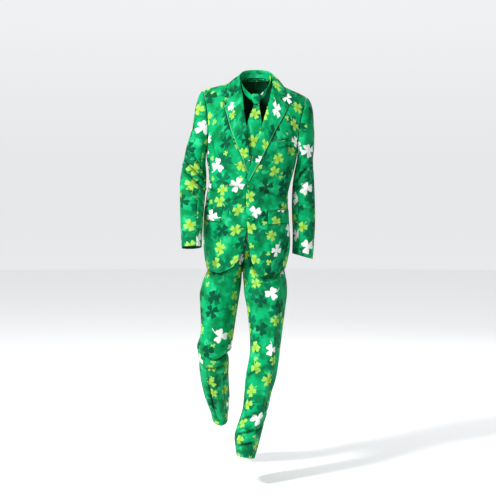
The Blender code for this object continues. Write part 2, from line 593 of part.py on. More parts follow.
def make_object(name, points, faces, material):
    mesh = bpy.data.meshes.new(name)
    mesh.from_pydata([tuple(p) for p in points], [], faces)
    mesh.update()
    mesh.materials.append(material)
    thing = bpy.data.objects.new(name, mesh)
    bpy.data.collections[COLLECTION].objects.link(thing)
    return thing


def cloth(name, rows, wall, material, closed=False):
    """A sheet of cloth through a grid of points, given its wall by Solidify."""
    rows = np.asarray(rows)
    high, wide = rows.shape[:2]
    faces = []
    for i in range(high - 1):
        for j in range(wide if closed else wide - 1):
            k = (j + 1) % wide
            faces.append((i * wide + j, i * wide + k, (i + 1) * wide + k, (i + 1) * wide + j))
    thing = make_object(name, rows.reshape(-1, 3), faces, material)
    thick = thing.modifiers.new("wall", "SOLIDIFY")
    thick.thickness = wall
    thick.offset = 0.0
    return thing


def make_fronts_and_backs():
    """The four panels of the jacket body."""
    low = np.concatenate([np.linspace(0, 0.72, 9), np.linspace(0.72, 1, FRONT_ROWS_LOW - 8)[1:]])
    low = low * LOW_SHARE
    high = np.linspace(LOW_SHARE, 1, FRONT_ROWS_HIGH)[1:]
    vs = np.concatenate([low, high])
    vs[-1] -= 0.0017
    for side in ("left", "right"):
        us = trimmed(FRONT_COLUMNS, 0.20)
        us[0] = 0.0
        rows = grid(lambda u, v: front_point(side, u, v), us, vs)
        cloth("front_" + side, rows, CLOTH, green)
        us = trimmed(BACK_COLUMNS, 0.22)
        rows = grid(lambda u, v: back_point(side, u, v), us, vs)
        cloth("back_" + side, rows, CLOTH, green)


def make_sleeves():
    """A top sleeve and an under sleeve on each arm."""
    above, at_elbow, below = SLEEVE_ROWS
    start, end = SLEEVE_ELBOW
    fs = np.concatenate([np.linspace(0, start, above + 1),
                         np.linspace(start, end, at_elbow + 1)[1:],
                         np.linspace(end, 1.0, below + 1)[1:]])
    inset = np.degrees(SLEEVE_SEAM / 2 / 0.06)
    for side in ("left", "right"):
        for name, span, columns in (("top_sleeve_", TOP_SLEEVE, TOP_SLEEVE_COLUMNS),
                                    ("under_sleeve_", UNDER_SLEEVE, UNDER_SLEEVE_COLUMNS)):
            angles = np.linspace(span[0] + inset, span[1] - inset, columns)
            rows = grid(lambda a, f: sleeve_point(side, a, f), angles, fs)
            cloth(name + side, rows, CLOTH, green)


def make_trousers():
    """A front and a back for each leg, and the waistband."""
    row = np.arange(HIP_ROWS + LEG_ROWS + 1, dtype=float)
    row[0] += 0.003
    for side in ("left", "right"):
        for name, front in (("trouser_front_", True), ("trouser_back_", False)):
            shares = trimmed(LEG_COLUMNS, 0.16)
            rows = grid(lambda s, r: trouser_point(side, s, r, front), shares, row)
            rows[:HIP_ROWS + 2, -1, 0] += OUTWARD[side] * 0.0003
            cloth(name + side, rows, CLOTH, green)
    heights = np.linspace(WAISTBAND_TOP, WAIST + 0.0003, 4)
    shares = np.linspace(0, 1, 9)
    loops = []
    for z in heights:
        z_row = np.full(shares.shape, z)
        loop = [hip_point("left", shares, z_row, True)[:-1],
                hip_point("right", shares, z_row, True)[::-1][:-1],
                hip_point("right", shares, z_row, False)[:-1],
                hip_point("left", shares, z_row, False)[::-1][:-1]]
        loops.append(np.concatenate(loop))
    cloth("waistband", loops, DOUBLE_CLOTH, green, closed=True)


def on_front(side, x, z, out):
    """A point this far out from a front, at this x and z."""
    def point(a, b):
        return front_point(side, a, b)

    guess = 0.35 + 0.6 * (np.asarray(z) + 0.70) / 0.70
    u, v = locate(point, x, z, 0.3, np.clip(guess, 0.02, 0.95))
    n = normals(point, u, v, OUTWARD[side])
    return point(u, v) + n * np.asarray(out)[..., None]


def edge_row(side, v, shift, notch, tip):
    """Points from beside the front's edge, round it, and over the front to an outer corner."""
    at_edge = front_point(side, np.array([0.0, 0.04]), np.array([v, v]))
    inward = at_edge[1] - at_edge[0]
    inward = inward / np.linalg.norm(inward)
    roll = at_edge[0, [0, 2]] + shift
    tip = np.array(tip)
    width = np.linalg.norm(tip - roll)
    if notch is None:
        corner = mix(roll, tip, np.array([0.16, 0.38, 0.62, 0.82, 1.0])[:, None])
    else:
        notch = np.array(notch)
        corner = np.array([mix(roll, notch, 0.25), mix(roll, notch, 0.62), notch,
                           mix(notch, tip, 0.5), tip])
    shares = np.array([0.0, 0.0, 0.12])[:, None]
    xz = np.concatenate([mix(roll, corner[0], shares), corner])
    full = min(1.0, width / 0.05)
    out = LAID_ON + full * np.array([0.0, 0.0, 0.0019, 0.0035, 0.0025, 0.0010, 0.0004, 0.0002])
    out[:2] = 0.0
    line = on_front(side, xz[:, 0], xz[:, 1], out)
    away = on_front(side, xz[:1, 0], xz[:1, 1], np.array([1.0]))[0] - line[0]
    away = away / np.linalg.norm(away)
    line[0] = line[0] - inward * 0.0027
    line[1] = line[1] - inward * 0.0024 + away * 0.0026
    return line


def roll_rows(side):
    """How far up the front the lowest point of the lapel and the gorge lie."""
    v = np.linspace(0.3, 0.999, 400)
    line = front_point(side, np.zeros(v.shape), v)
    gorge = ROLL[side][-3][2]
    return np.interp([LAPEL_FROM[side], gorge], line[:, 2], v)


def make_lapels():
    """Each lapel turns round the front's edge at the roll line and lies on the front."""
    fs = np.linspace(0.0, 1.0, LAPEL_ROWS)
    for side in ("left", "right"):
        low, gorge = roll_rows(side)
        outer = along(LAPEL_EDGE[side], fs)
        rows = []
        for i in range(LAPEL_ROWS):
            notch = LAPEL_NOTCH[side] if i == LAPEL_ROWS - 1 else None
            rows.append(edge_row(side, mix(low, gorge, fs[i]), 0.0, notch, outer[i]))
        cloth("lapel_" + side, rows, CLOTH, green)


def surface_height(side, front, x, y, out):
    """The point this far out from a front or back, at this x and y."""
    panel = front_point if front else back_point

    def swapped(a, b):
        p = panel(side, a, b)
        return p[..., [0, 2, 1]]

    u, v = locate(swapped, np.array([x]), np.array([y]), 0.3, 0.93)
    flip = OUTWARD[side] * (1.0 if front else -1.0)
    n = normals(lambda a, b: panel(side, a, b), u, v, flip)
    return (panel(side, u, v) + n * out)[0]


def make_collar():
    """Stand and fall of the collar, from the gorge of one front round the neck to the other."""
    halves = {}
    for side in ("left", "right"):
        gorge = np.array([OUTWARD[side] * 0.00075, 0.00055])
        notch = np.array(LAPEL_NOTCH[side]) + gorge
        rows = [edge_row(side, roll_rows(side)[1], gorge, notch, COLLAR_TIP[side])]
        seam = [(p[0], p[1], p[2]) for p in ROLL[side][-2:]]
        seam += [tuple(p) for p in along(BACK_NECK[side], np.array([0.70, 0.46, 0.24, 0.0]))]
        for k in range(1, 7):
            x, y, z, edge_x, edge_y = COLLAR[side][k]
            foot = np.array(seam[k - 1]) + np.array([0.0, 0.0, 0.0028])
            top = np.array([x, y, z])
            front = edge_y < 0.004
            edge = surface_height(side, front, edge_x, edge_y, COLLAR_OFF)
            aside = np.array([edge_x - x, edge_y - y, 0.0])
            aside = aside / np.linalg.norm(aside)
            down = np.array([0.0, 0.0, -0.0016])
            outer = top + aside * 0.0030 + down
            fall = edge - outer
            bulge = np.array([0.0, 0.0, 0.0045]) + aside * 0.0015
            rows.append(np.array([
                foot,
                mix(foot, top, 0.55) - aside * 0.0010,
                top - aside * 0.0020 + down,
                top,
                outer,
                outer + fall * 0.33 + bulge,
                outer + fall * 0.70 + bulge * 0.75,
                edge,
            ]))
        halves[side] = rows
    rows = np.array(halves["right"] + halves["left"][:-1][::-1])
    at = np.linspace(0, len(rows) - 1, COLLAR_ROWS)
    cloth("collar", smooth(at, np.arange(len(rows)), rows.reshape(len(rows), -1)).reshape(
        COLLAR_ROWS, -1, 3), CLOTH, green)


def on_body(turn, z, out):
    """A point this far out from the lower front of the jacket."""
    def ring(a, b):
        return body_ring(a, b, True)

    step = 1e-4
    du = ring(turn + step, z) - ring(turn - step, z)
    dz = ring(turn, z + step) - ring(turn, z - step)
    n = np.cross(du, dz)
    n = n / np.linalg.norm(n, axis=-1, keepdims=True)
    return ring(turn, z) + n * out


def make_pockets():
    """The flaps lie on the fronts at the hips, the welt on the left chest."""
    for side, corners in POCKET_FLAP.items():
        c = np.array(corners)
        turn = body_turn(c[:, 0], c[:, 1])
        u, v = np.meshgrid(np.linspace(0, 1, 9), np.linspace(0, 1, 4))
        turns = mix(mix(turn[0], turn[1], u), mix(turn[3], turn[2], u), v)
        heights = mix(mix(c[0, 1], c[1, 1], u), mix(c[3, 1], c[2, 1], u), v)
        cloth("pocket_flap_" + side, on_body(turns, heights, LAID_ON + 0.0006 * v[..., None]),
              CLOTH, green)
    c = np.array(BREAST_WELT)
    u, v = np.meshgrid(np.linspace(0, 1, 5), np.linspace(0, 1, 3))
    x = mix(mix(c[0, 0], c[1, 0], u), mix(c[3, 0], c[2, 0], u), v)
    z = mix(mix(c[0, 1], c[1, 1], u), mix(c[3, 1], c[2, 1], u), v)
    cloth("breast_welt", on_front("left", x, z, np.full(x.shape, LAID_ON)), CLOTH, green)


def make_buttons():
    """Flat covered buttons with a rounded edge on the left front."""
    for name, (x, z) in BUTTONS.items():
        out = CLOTH / 2 + 0.0009 + BUTTON_THICKNESS / 2
        seat = on_front("left", np.array([x]), np.array([z]), np.array([out]))[0]
        base = on_front("left", np.array([x]), np.array([z]), np.array([0.0]))[0]
        mesh = bpy.data.meshes.new(name)
        shape = bmesh.new()
        bmesh.ops.create_cone(shape, cap_ends=True, segments=20, radius1=BUTTON_RADIUS,
                              radius2=BUTTON_RADIUS, depth=BUTTON_THICKNESS)
        shape.to_mesh(mesh)
        shape.free()
        mesh.materials.append(button_green)
        thing = bpy.data.objects.new(name, mesh)
        bpy.data.collections[COLLECTION].objects.link(thing)
        thing.location = Vector(seat)
        thing.rotation_euler = Vector(seat - base).to_track_quat("Z", "Y").to_euler()
        rounded = thing.modifiers.new("edge", "BEVEL")
        rounded.width = 0.0009
        rounded.segments = 2
        rounded.limit_method = "ANGLE"


def make_tie():
    """A blade that hangs behind the closed fronts, a knot, and a band round the neck."""
    across = np.array([-1.0, -0.55, 0.0, 0.55, 1.0])
    rows = [stack(x + half * across, y + 0.0012 * across ** 2 * (half / 0.035) ** 2, z)
            for z, x, y, half in TIE_BLADE]
    cloth("tie_blade", rows, CLOTH, green)
    points = []
    angles = np.linspace(0, 360, 13)[:-1]
    for z, x, y, half, deep in TIE_KNOT:
        c = power(np.cos(np.radians(angles)), 2 / 2.6)
        s = power(np.sin(np.radians(angles)), 2 / 2.6)
        points.append(stack(x + half * c, y - deep * s, z))
    count = len(angles)
    faces = [tuple(range(count))]
    for i in range(len(TIE_KNOT) - 1):
        for j in range(count):
            k = (j + 1) % count
            faces.append((i * count + j, i * count + k, (i + 1) * count + k, (i + 1) * count + j))
    faces[0] = faces[0][::-1]
    faces.append(tuple((len(TIE_KNOT) - 1) * count + j for j in range(count)))
    make_object("tie_knot", np.concatenate(points), faces, green)
    half = np.array(TIE_BAND)
    other = half[:-1][::-1] * np.array([-1, 1, 1])
    path = np.concatenate([half, other]) + np.array([TIE_BAND_MIDDLE, 0.0, 0.0])
    path = along(path, np.linspace(0, 1, 21))
    rows = [path + np.array([0, 0, h * TIE_BAND_HALF_HEIGHT]) for h in (-1.0, 0.0, 1.0)]
    cloth("tie_neckband", rows, DOUBLE_CLOTH, green)


def clear_scene():
    for thing in list(bpy.data.objects):
        bpy.data.objects.remove(thing, do_unlink=True)


def make_material(name, colour, roughness):
    material = bpy.data.materials.new(name)
    material.use_nodes = True
    shader = material.node_tree.nodes["Principled BSDF"]
    shader.inputs["Base Color"].default_value = colour
    shader.inputs["Roughness"].default_value = roughness
    shader.inputs["Metallic"].default_value = 0.0
    return material


COLLECTION = "shamrock_print_suit"
clear_scene()
bpy.context.scene.collection.children.link(bpy.data.collections.new(COLLECTION))
green = make_material("printed_cloth", GREEN, 0.75)
button_green = make_material("covered_button", DARK_GREEN, 0.5)
make_fronts_and_backs()
make_sleeves()
make_trousers()
make_lapels()
make_collar()
make_pockets()
make_buttons()
make_tie()
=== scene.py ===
"""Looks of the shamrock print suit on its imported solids: printed cloth shells, lights and camera."""

import json

import bmesh
import bpy
import numpy as np
from mathutils import Matrix, Vector

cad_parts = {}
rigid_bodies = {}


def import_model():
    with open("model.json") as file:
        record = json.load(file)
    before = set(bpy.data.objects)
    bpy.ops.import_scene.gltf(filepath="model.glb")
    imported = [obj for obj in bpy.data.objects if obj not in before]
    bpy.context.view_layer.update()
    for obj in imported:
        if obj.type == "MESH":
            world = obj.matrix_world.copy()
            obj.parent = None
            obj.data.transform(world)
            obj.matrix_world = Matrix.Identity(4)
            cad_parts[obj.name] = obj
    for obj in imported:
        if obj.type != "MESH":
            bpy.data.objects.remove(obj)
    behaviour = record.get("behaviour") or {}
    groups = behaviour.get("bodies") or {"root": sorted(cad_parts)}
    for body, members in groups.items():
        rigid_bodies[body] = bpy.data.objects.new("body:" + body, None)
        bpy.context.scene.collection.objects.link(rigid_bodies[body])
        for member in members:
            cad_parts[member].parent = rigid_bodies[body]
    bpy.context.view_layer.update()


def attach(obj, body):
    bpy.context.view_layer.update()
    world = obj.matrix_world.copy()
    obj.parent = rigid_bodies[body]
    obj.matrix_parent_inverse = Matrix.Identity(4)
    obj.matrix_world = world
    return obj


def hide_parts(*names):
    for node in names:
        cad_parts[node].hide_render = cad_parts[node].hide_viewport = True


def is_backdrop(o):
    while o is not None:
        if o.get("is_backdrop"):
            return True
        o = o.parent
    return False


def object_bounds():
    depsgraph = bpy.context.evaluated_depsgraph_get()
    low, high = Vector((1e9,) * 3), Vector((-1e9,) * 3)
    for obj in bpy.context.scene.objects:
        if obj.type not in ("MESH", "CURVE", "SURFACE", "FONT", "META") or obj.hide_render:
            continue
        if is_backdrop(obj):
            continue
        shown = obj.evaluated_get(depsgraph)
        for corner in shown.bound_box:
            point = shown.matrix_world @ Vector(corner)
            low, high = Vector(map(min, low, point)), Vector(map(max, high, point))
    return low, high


for thing in list(bpy.data.objects):
    bpy.data.objects.remove(thing, do_unlink=True)
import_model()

# Jacket fronts: two panels of printed suiting, each cut in one from shoulder seam to hem with
# the front edge rounded away. They are thin shells on the form of their solids, with the drag
# lines of a closed jacket; the shared curves, the cloth's print and its mesh are made here.

# Jacket body, from the hem up to the armpit: height, x of the right side,
# x of the left side, y of the front, y of the side seams, y of the back.
BODY = np.array([
    (-0.790, -0.197, 0.110, -0.1180, 0.008, 0.141),
    (-0.740, -0.1935, 0.1125, -0.1160, 0.008, 0.135),
    (-0.705, -0.200, 0.121, -0.1140, 0.008, 0.133),
    (-0.665, -0.205, 0.129, -0.1110, 0.007, 0.129),
    (-0.590, -0.207, 0.1295, -0.1060, 0.006, 0.116),
    (-0.520, -0.203, 0.124, -0.1030, 0.005, 0.101),
    (-0.453, -0.193, 0.1215, -0.1030, 0.004, 0.095),
    (-0.395, -0.184, 0.134, -0.1080, 0.003, 0.103),
    (-0.345, -0.187, 0.148, -0.1130, 0.004, 0.117),
    (-0.297, -0.196, 0.158, -0.1160, 0.005, 0.128),
    (-0.250, -0.203, 0.163, -0.1170, 0.006, 0.135),
])
BODY_ROUNDNESS = 2.5
ARMPIT = -0.297

# Front edges as (x, z), from the corner of the hem up to the armpit height.
EDGE = {
    "left": [(0.0100, -0.7600), (-0.0075, -0.736), (-0.0215, -0.6929), (-0.0300, -0.643),
             (-0.0344, -0.582), (-0.0385, -0.530), (-0.0400, -0.480), (-0.0395, -0.435),
             (-0.0350, -0.397), (-0.0262, -0.352), (-0.0140, -0.318), (-0.0080, ARMPIT)],
    "right": [(-0.0935, -0.7268), (-0.0779, -0.7108), (-0.0630, -0.6856), (-0.0497, -0.6539),
              (-0.0448, -0.6287), (-0.0372, -0.582), (-0.0285, -0.540), (-0.0220, -0.498),
              (-0.0180, -0.452), (-0.0172, -0.418), (-0.0195, -0.385), (-0.0246, -0.346),
              (-0.0322, ARMPIT)],
}
# Hems as (x, z), from the corner to the side seam.
HEM = {
    "left": [(0.0100, -0.7600), (0.0300, -0.7660), (0.0560, -0.7620), (0.0838, -0.7510),
             (0.1040, -0.7400), (0.1125, -0.7320)],
    "right": [(-0.0935, -0.7268), (-0.1165, -0.7398), (-0.1345, -0.7471), (-0.1631, -0.7478),
              (-0.1860, -0.7400), (-0.1945, -0.7335)],
}
# Roll line above the armpit height, up to the side of the neck: x, y, z.
ROLL = {
    "left": [(0.0110, -0.1150, -0.2240), (0.0283, -0.1060, -0.1686), (0.0379, -0.0975, -0.1364),
             (0.0475, -0.0860, -0.1039), (0.0560, -0.0680, -0.0680), (0.0605, -0.0500, -0.0445),
             (0.0650, -0.0250, -0.0250), (0.0690, 0.0050, -0.0120)],
    "right": [(-0.0412, -0.1125, -0.1941), (-0.0478, -0.1020, -0.1557), (-0.0515, -0.0930, -0.1200),
              (-0.0545, -0.0790, -0.0860), (-0.0575, -0.0640, -0.0630), (-0.0600, -0.0500, -0.0455),
              (-0.0655, -0.0250, -0.0250), (-0.0710, 0.0050, -0.0110)],
}
# Shoulder seam from the side of the neck to the shoulder point: x, y, z.
SHOULDER = {
    "left": [(0.0690, 0.0050, -0.0120), (0.1065, 0.0070, -0.0310), (0.1357, 0.0090, -0.0445),
             (0.1646, 0.0105, -0.0570), (0.1950, 0.0110, -0.0725)],
    "right": [(-0.0710, 0.0050, -0.0110), (-0.1162, 0.0070, -0.0205), (-0.1618, 0.0095, -0.0320),
              (-0.1850, 0.0105, -0.0380), (-0.2060, 0.0110, -0.0450)],
}
# Armhole loop: x of its top and bottom, z of its top, how far its sides lie nearer
# the middle, y of its middle, reach to the front and to the back.
ARMHOLE = {
    "left": (0.1950, 0.1580, -0.0725, 0.012, 0.008, 0.070, 0.080),
    "right": (-0.2060, -0.1960, -0.0450, 0.014, 0.008, 0.070, 0.080),
}
# Share of a body panel's length that lies below the armpit.
LOW_SHARE = 0.6
# The lap: the width at the edge where a front moves fully, and the width over which that
# fades; the same for the height of its upper end; the height and half height of the swell at
# the top button; and each front's move in y, all along and in the swell.
LAP_WIDE = 0.025
LAP_FADE = 0.045
LAP_TOP = -0.25
LAP_TOP_FADE = 0.06
LAP_SWELL = -0.362
LAP_SWELL_HALF = 0.055
LAP_MOVE = {"left": (-0.0013, -0.0041), "right": (0.0013, 0.0004)}
# The forward trouser leg's push under the left front: the height it starts from, the length
# over which it grows, its reach, and its middle's x and half width.
LEG_PUSH_TOP = -0.640
LEG_PUSH_GROWS = 0.11
LEG_PUSH = 0.012
LEG_PUSH_MIDDLE = 0.04
LEG_PUSH_HALF = 0.090
OUTWARD = {"left": 1.0, "right": -1.0}


def smooth(at, knots, values):
    """A smooth curve through values given at rising knots."""
    knots = np.asarray(knots, float)
    values = np.asarray(values, float)
    slopes = np.gradient(values, knots, axis=0)
    at = np.clip(np.asarray(at, float), knots[0], knots[-1])
    i = np.clip(np.searchsorted(knots, at, side="right") - 1, 0, len(knots) - 2)
    wide = knots[i + 1] - knots[i]
    f = (at - knots[i]) / wide
    if values.ndim > 1:
        wide = wide[..., None]
        f = f[..., None]
    start = (1 + 2 * f) * (1 - f) ** 2 * values[i] + f * (1 - f) ** 2 * wide * slopes[i]
    end = f * f * (3 - 2 * f) * values[i + 1] + f * f * (f - 1) * wide * slopes[i + 1]
    return start + end


def along(points, f):
    """A smooth curve through points, f running from 0 to 1 with its length."""
    points = np.asarray(points, float)
    steps = np.linalg.norm(np.diff(points, axis=0), axis=1)
    knots = np.concatenate([[0.0], np.cumsum(steps)]) / steps.sum()
    return smooth(f, knots, points)


def ease(x):
    """0 below 0, 1 above 1, and smooth between."""
    x = np.clip(x, 0.0, 1.0)
    return x * x * (3 - 2 * x)


def mix(a, b, share):
    return a + (b - a) * share


def stack(x, y, z):
    return np.stack(np.broadcast_arrays(x, y, z), axis=-1)


def power(value, exponent):
    return np.sign(value) * np.abs(value) ** exponent


def body_section(z):
    """The jacket body at this height: its row of the table, its middle and its half width."""
    row = smooth(z, BODY[:, 0], BODY[:, 1:])
    return row, (row[..., 0] + row[..., 1]) / 2, (row[..., 1] - row[..., 0]) / 2


def body_ring(turn, z, front):
    """A point of the jacket body: turn is -90 degrees at the right side, 90 at the left."""
    row, middle, half = body_section(z)
    s = np.sin(turn)
    reach = (1 - np.minimum(np.abs(s), 1.0) ** BODY_ROUNDNESS) ** (1 / BODY_ROUNDNESS)
    far = row[..., 2] if front else row[..., 4]
    return stack(middle + half * s, row[..., 3] + (far - row[..., 3]) * reach, z)


def body_turn(x, z):
    """The turn at which the jacket body has this x."""
    _, middle, half = body_section(z)
    return np.arcsin(np.clip((x - middle) / half, -1.0, 1.0))


def armhole(side, angle):
    """A point of the armhole loop: 0 is its top, 90 its front, 180 its bottom, 270 its back."""
    x_top, x_bottom, z_top, inward, y_middle, to_front, to_back = ARMHOLE[side]
    c = np.cos(np.radians(angle))
    s = np.sin(np.radians(angle))
    x = mix(x_bottom, x_top, (1 + c) / 2) - OUTWARD[side] * inward * s * s
    y = y_middle - np.where(s > 0, to_front, to_back) * s
    z = mix(ARMPIT, z_top, (1 + c) / 2)
    return stack(x, y, z)


def coons(bottom, top, left, right, u, v, share):
    """A patch between four curves whose ends meet; share says how far up v is."""
    corner_a = bottom(u * 0)
    corner_b = bottom(u * 0 + 1)
    corner_c = top(u * 0)
    corner_d = top(u * 0 + 1)
    u = u[..., None]
    share = share[..., None] if np.ndim(share) == np.ndim(v) else share
    across = mix(bottom(u[..., 0]), top(u[..., 0]), share)
    left_gap = left(v) - mix(corner_a, corner_c, share)
    right_gap = right(v) - mix(corner_b, corner_d, share)
    return across + mix(left_gap, right_gap, u)


def low_patch(side, u, v, edge, hem, front):
    """The part of a body panel below the armpit, v from 0 at the hem to 1."""
    limit = OUTWARD[side] * np.pi / 2

    def in_turns(points):
        points = np.asarray(points)
        return np.stack([body_turn(points[..., 0], points[..., 1]), points[..., 1]], axis=-1)

    hem_turns = in_turns(hem)
    hem_turns[-1, 0] = limit
    hem_share = (hem_turns[:, 0] - hem_turns[0, 0]) / (limit - hem_turns[0, 0])

    def bottom(f):
        return stack(mix(hem_turns[0, 0], limit, f), smooth(f, hem_share, hem_turns[:, 1]), 0)

    def left(f):
        turned = in_turns(along(edge, f))
        return stack(turned[..., 0], turned[..., 1], 0)

    edge_top = left(np.ones(1))[0, 0]

    def top(f):
        return stack(mix(edge_top, limit, f), ARMPIT + f * 0, 0)

    def right(f):
        return stack(limit + f * 0, mix(hem[-1][1], ARMPIT, f), 0)

    turned = coons(bottom, top, left, right, u, v, v)
    return body_ring(turned[..., 0], turned[..., 1], front)


def high_patch(side, u, t, low_edge_x, middle, top, loop_to, front):
    """The part of a body panel above the armpit, t from 0 up to 1 at the shoulder."""
    limit = OUTWARD[side] * np.pi / 2
    turn_0 = body_turn(np.array(low_edge_x), np.array(ARMPIT))
    first = body_ring(turn_0, np.array(ARMPIT), front)
    middle = np.concatenate([[first], middle])
    # As the armhole comes forward (or goes back), the body section that is carried up
    # ends at that same depth.
    row = smooth(ARMPIT, BODY[:, 0], BODY[:, 1:])
    far = abs((row[2] if front else row[4]) - row[3])
    reach_out = ARMHOLE[side][5 if front else 6] / far * np.sin(np.pi * np.minimum(t, 0.5))
    end_turn = OUTWARD[side] * np.arcsin((1 - reach_out ** BODY_ROUNDNESS) ** (1 / BODY_ROUNDNESS))
    end_turn = mix(limit, end_turn, 0.95)

    def bottom(f):
        return body_ring(mix(turn_0, end_turn, f), ARMPIT + f * 0, front)

    def left(f):
        return along(middle, mix(f, np.sin(f * np.pi / 2), 0.6))

    def right(f):
        return armhole(side, mix(180.0, loop_to, f))

    sideways = coons(bottom, top, left, right, u, t, t)
    forward = coons(bottom, top, left, right, u, t, 1 - np.cos(t * np.pi / 2))
    upright = coons(bottom, top, left, right, u, t, np.sin(t * np.pi / 2))
    return stack(sideways[..., 0], forward[..., 1], upright[..., 2])


def front_point(side, u, v):
    """A point of a front: u from the front edge to the side, v from the hem to the shoulder."""
    u = np.asarray(u, float)
    v = np.asarray(v, float)
    low = low_patch(side, u, np.clip(v / LOW_SHARE, 0, 1), EDGE[side], HEM[side], True)
    t = np.clip((v - LOW_SHARE) / (1 - LOW_SHARE), 0, 1)

    def top(f):
        return along(SHOULDER[side], f)

    high = high_patch(side, u, t, EDGE[side][-1][0], ROLL[side], top, 0.0, True)
    point = np.where((v < LOW_SHARE)[..., None], low, high)
    # The left front is carried over the right one where they lap.
    edge_x = np.interp(point[..., 2], *np.array(EDGE[side])[:, ::-1].T)
    near = 1 - ease((np.abs(point[..., 0] - edge_x) - LAP_WIDE) / LAP_FADE)
    near = near * ease((LAP_TOP - point[..., 2]) / LAP_TOP_FADE)
    swell = np.exp(-((point[..., 2] - LAP_SWELL) / LAP_SWELL_HALF) ** 2)
    even, swollen = LAP_MOVE[side]
    point[..., 1] += (even + swollen * swell) * near
    # The forward trouser leg pushes the left front out above its hem.
    if side == "left":
        push = ease((LEG_PUSH_TOP - point[..., 2]) / LEG_PUSH_GROWS) * LEG_PUSH
        aside = np.exp(-((point[..., 0] - LEG_PUSH_MIDDLE) / LEG_PUSH_HALF) ** 2)
        point[..., 1] -= push * aside
    return point


def grid(point, us, vs):
    """The points of a surface on a grid, a row for each v."""
    u, v = np.meshgrid(us, vs)
    return point(u, v)


# The print: spacing and largest radius of the clovers, of the small lime ones between them
# and of the soft shadows beneath, how far they stray from an even layout, and the soft edges
# of the ink.
CLOVER_STEP = 0.075
CLOVER_RADIUS = 0.0262
CLOVER_STRAY = 0.62
ACCENT_STEP = 0.060
ACCENT_RADIUS = 0.0100
ACCENT_STRAY = 0.9
SHADOW_STEP = CLOVER_STEP * 1.25
SHADOW_RADIUS = CLOVER_RADIUS * 1.45
SHADOW_STRAY = 0.7
SHADOW_SHARE = 0.85
INK_EDGE = 0.0010
SHADOW_EDGE = 0.0050
# Chances from 0 to 1 by which a clover is dark, white or left out, or has a fourth leaf.
DARK_BELOW = 0.26
WHITE_ABOVE = 0.75
SHADOW_ABOVE = 0.25
ACCENT_ABOVE = 0.74
FOUR_LEAVES_ABOVE = 0.50
# A clover's size against its largest, and its outline and stem against its radius.
SIZE_LEAST = 0.82
SIZE_GAIN = 0.75
SIZE_MIDDLE = 0.48
ROOM_SHARE = 1.08
LEAF_REACH = 0.90
LEAF_SWING = 0.30
LEAF_CLEFT = -0.34
STEM_HALF = 0.075
STEM_LENGTH = 1.25
STEM_BEND = 1.1
# How much painted shade darkens cloth in a deep trough, and how much of the painted highlight colour a
# pressed edge shows.
TROUGH_PAINTED_SHADE = 0.72
EDGE_HIGHLIGHT_SHARE = 0.60
GROUND_LIGHT = (0.016, 0.450, 0.180, 1)
GROUND_BRIGHT = (0.0003, 0.320, 0.112, 1)
GROUND_DEEP = (0.0002, 0.170, 0.050, 1)
CLOVER_SHADE = (0.0002, 0.100, 0.044, 1)
CLOVER_DARK = (0.0001, 0.070, 0.030, 1)
CLOVER_LIME = (0.270, 0.560, 0.090, 1)
LIME_MIDDLE = (0.260, 0.370, 0.020, 1)
CLOVER_WHITE = (0.740, 0.780, 0.740, 1)
# The colour of the painted highlight along a pressed edge.
PAINTED_EDGE_HIGHLIGHT = (0.220, 0.720, 0.300, 1)
LINING = (0.002, 0.060, 0.022, 1)
INSIDE = (0.002, 0.110, 0.040, 1)


class Nodes:
    """Short calls for adding math nodes to a material's node tree."""

    def __init__(self, tree):
        self.tree = tree

    def feed(self, socket, value):
        if isinstance(value, bpy.types.NodeSocket):
            self.tree.links.new(value, socket)
        elif value is not None:
            socket.default_value = value

    def math(self, operation, a, b=None, c=None):
        node = self.tree.nodes.new("ShaderNodeMath")
        node.operation = operation
        for socket, value in zip(node.inputs, (a, b, c)):
            self.feed(socket, value)
        return node.outputs[0]

    def vector(self, operation, a, b=None):
        node = self.tree.nodes.new("ShaderNodeVectorMath")
        node.operation = operation
        self.feed(node.inputs[0], a)
        self.feed(node.inputs[1], b)
        return node.outputs["Value" if operation == "LENGTH" else "Vector"]

    def split(self, vector):
        node = self.tree.nodes.new("ShaderNodeSeparateXYZ")
        self.feed(node.inputs[0], vector)
        return node.outputs

    def blend(self, share, a, b):
        node = self.tree.nodes.new("ShaderNodeMix")
        node.data_type = "RGBA"
        self.feed(node.inputs["Factor"], share)
        self.feed(node.inputs["A"], a)
        self.feed(node.inputs["B"], b)
        return node.outputs["Result"]

    def scaled(self, vector, by):
        node = self.tree.nodes.new("ShaderNodeVectorMath")
        node.operation = "SCALE"
        self.feed(node.inputs[0], vector)
        self.feed(node.inputs["Scale"], by)
        return node.outputs["Vector"]

    def attribute(self, name):
        node = self.tree.nodes.new("ShaderNodeAttribute")
        node.attribute_name = name
        return node.outputs["Fac"]

    def noise(self, vector, scale, detail):
        node = self.tree.nodes.new("ShaderNodeTexNoise")
        self.feed(node.inputs["Vector"], vector)
        node.inputs["Scale"].default_value = scale
        node.inputs["Detail"].default_value = detail
        return node.outputs["Fac"]

    def soft_step(self, value, width):
        """0 where value is below 0, 1 above width."""
        node = self.tree.nodes.new("ShaderNodeMapRange")
        node.interpolation_type = "SMOOTHSTEP"
        self.feed(node.inputs["Value"], value)
        node.inputs["From Max"].default_value = width
        return node.outputs["Result"]


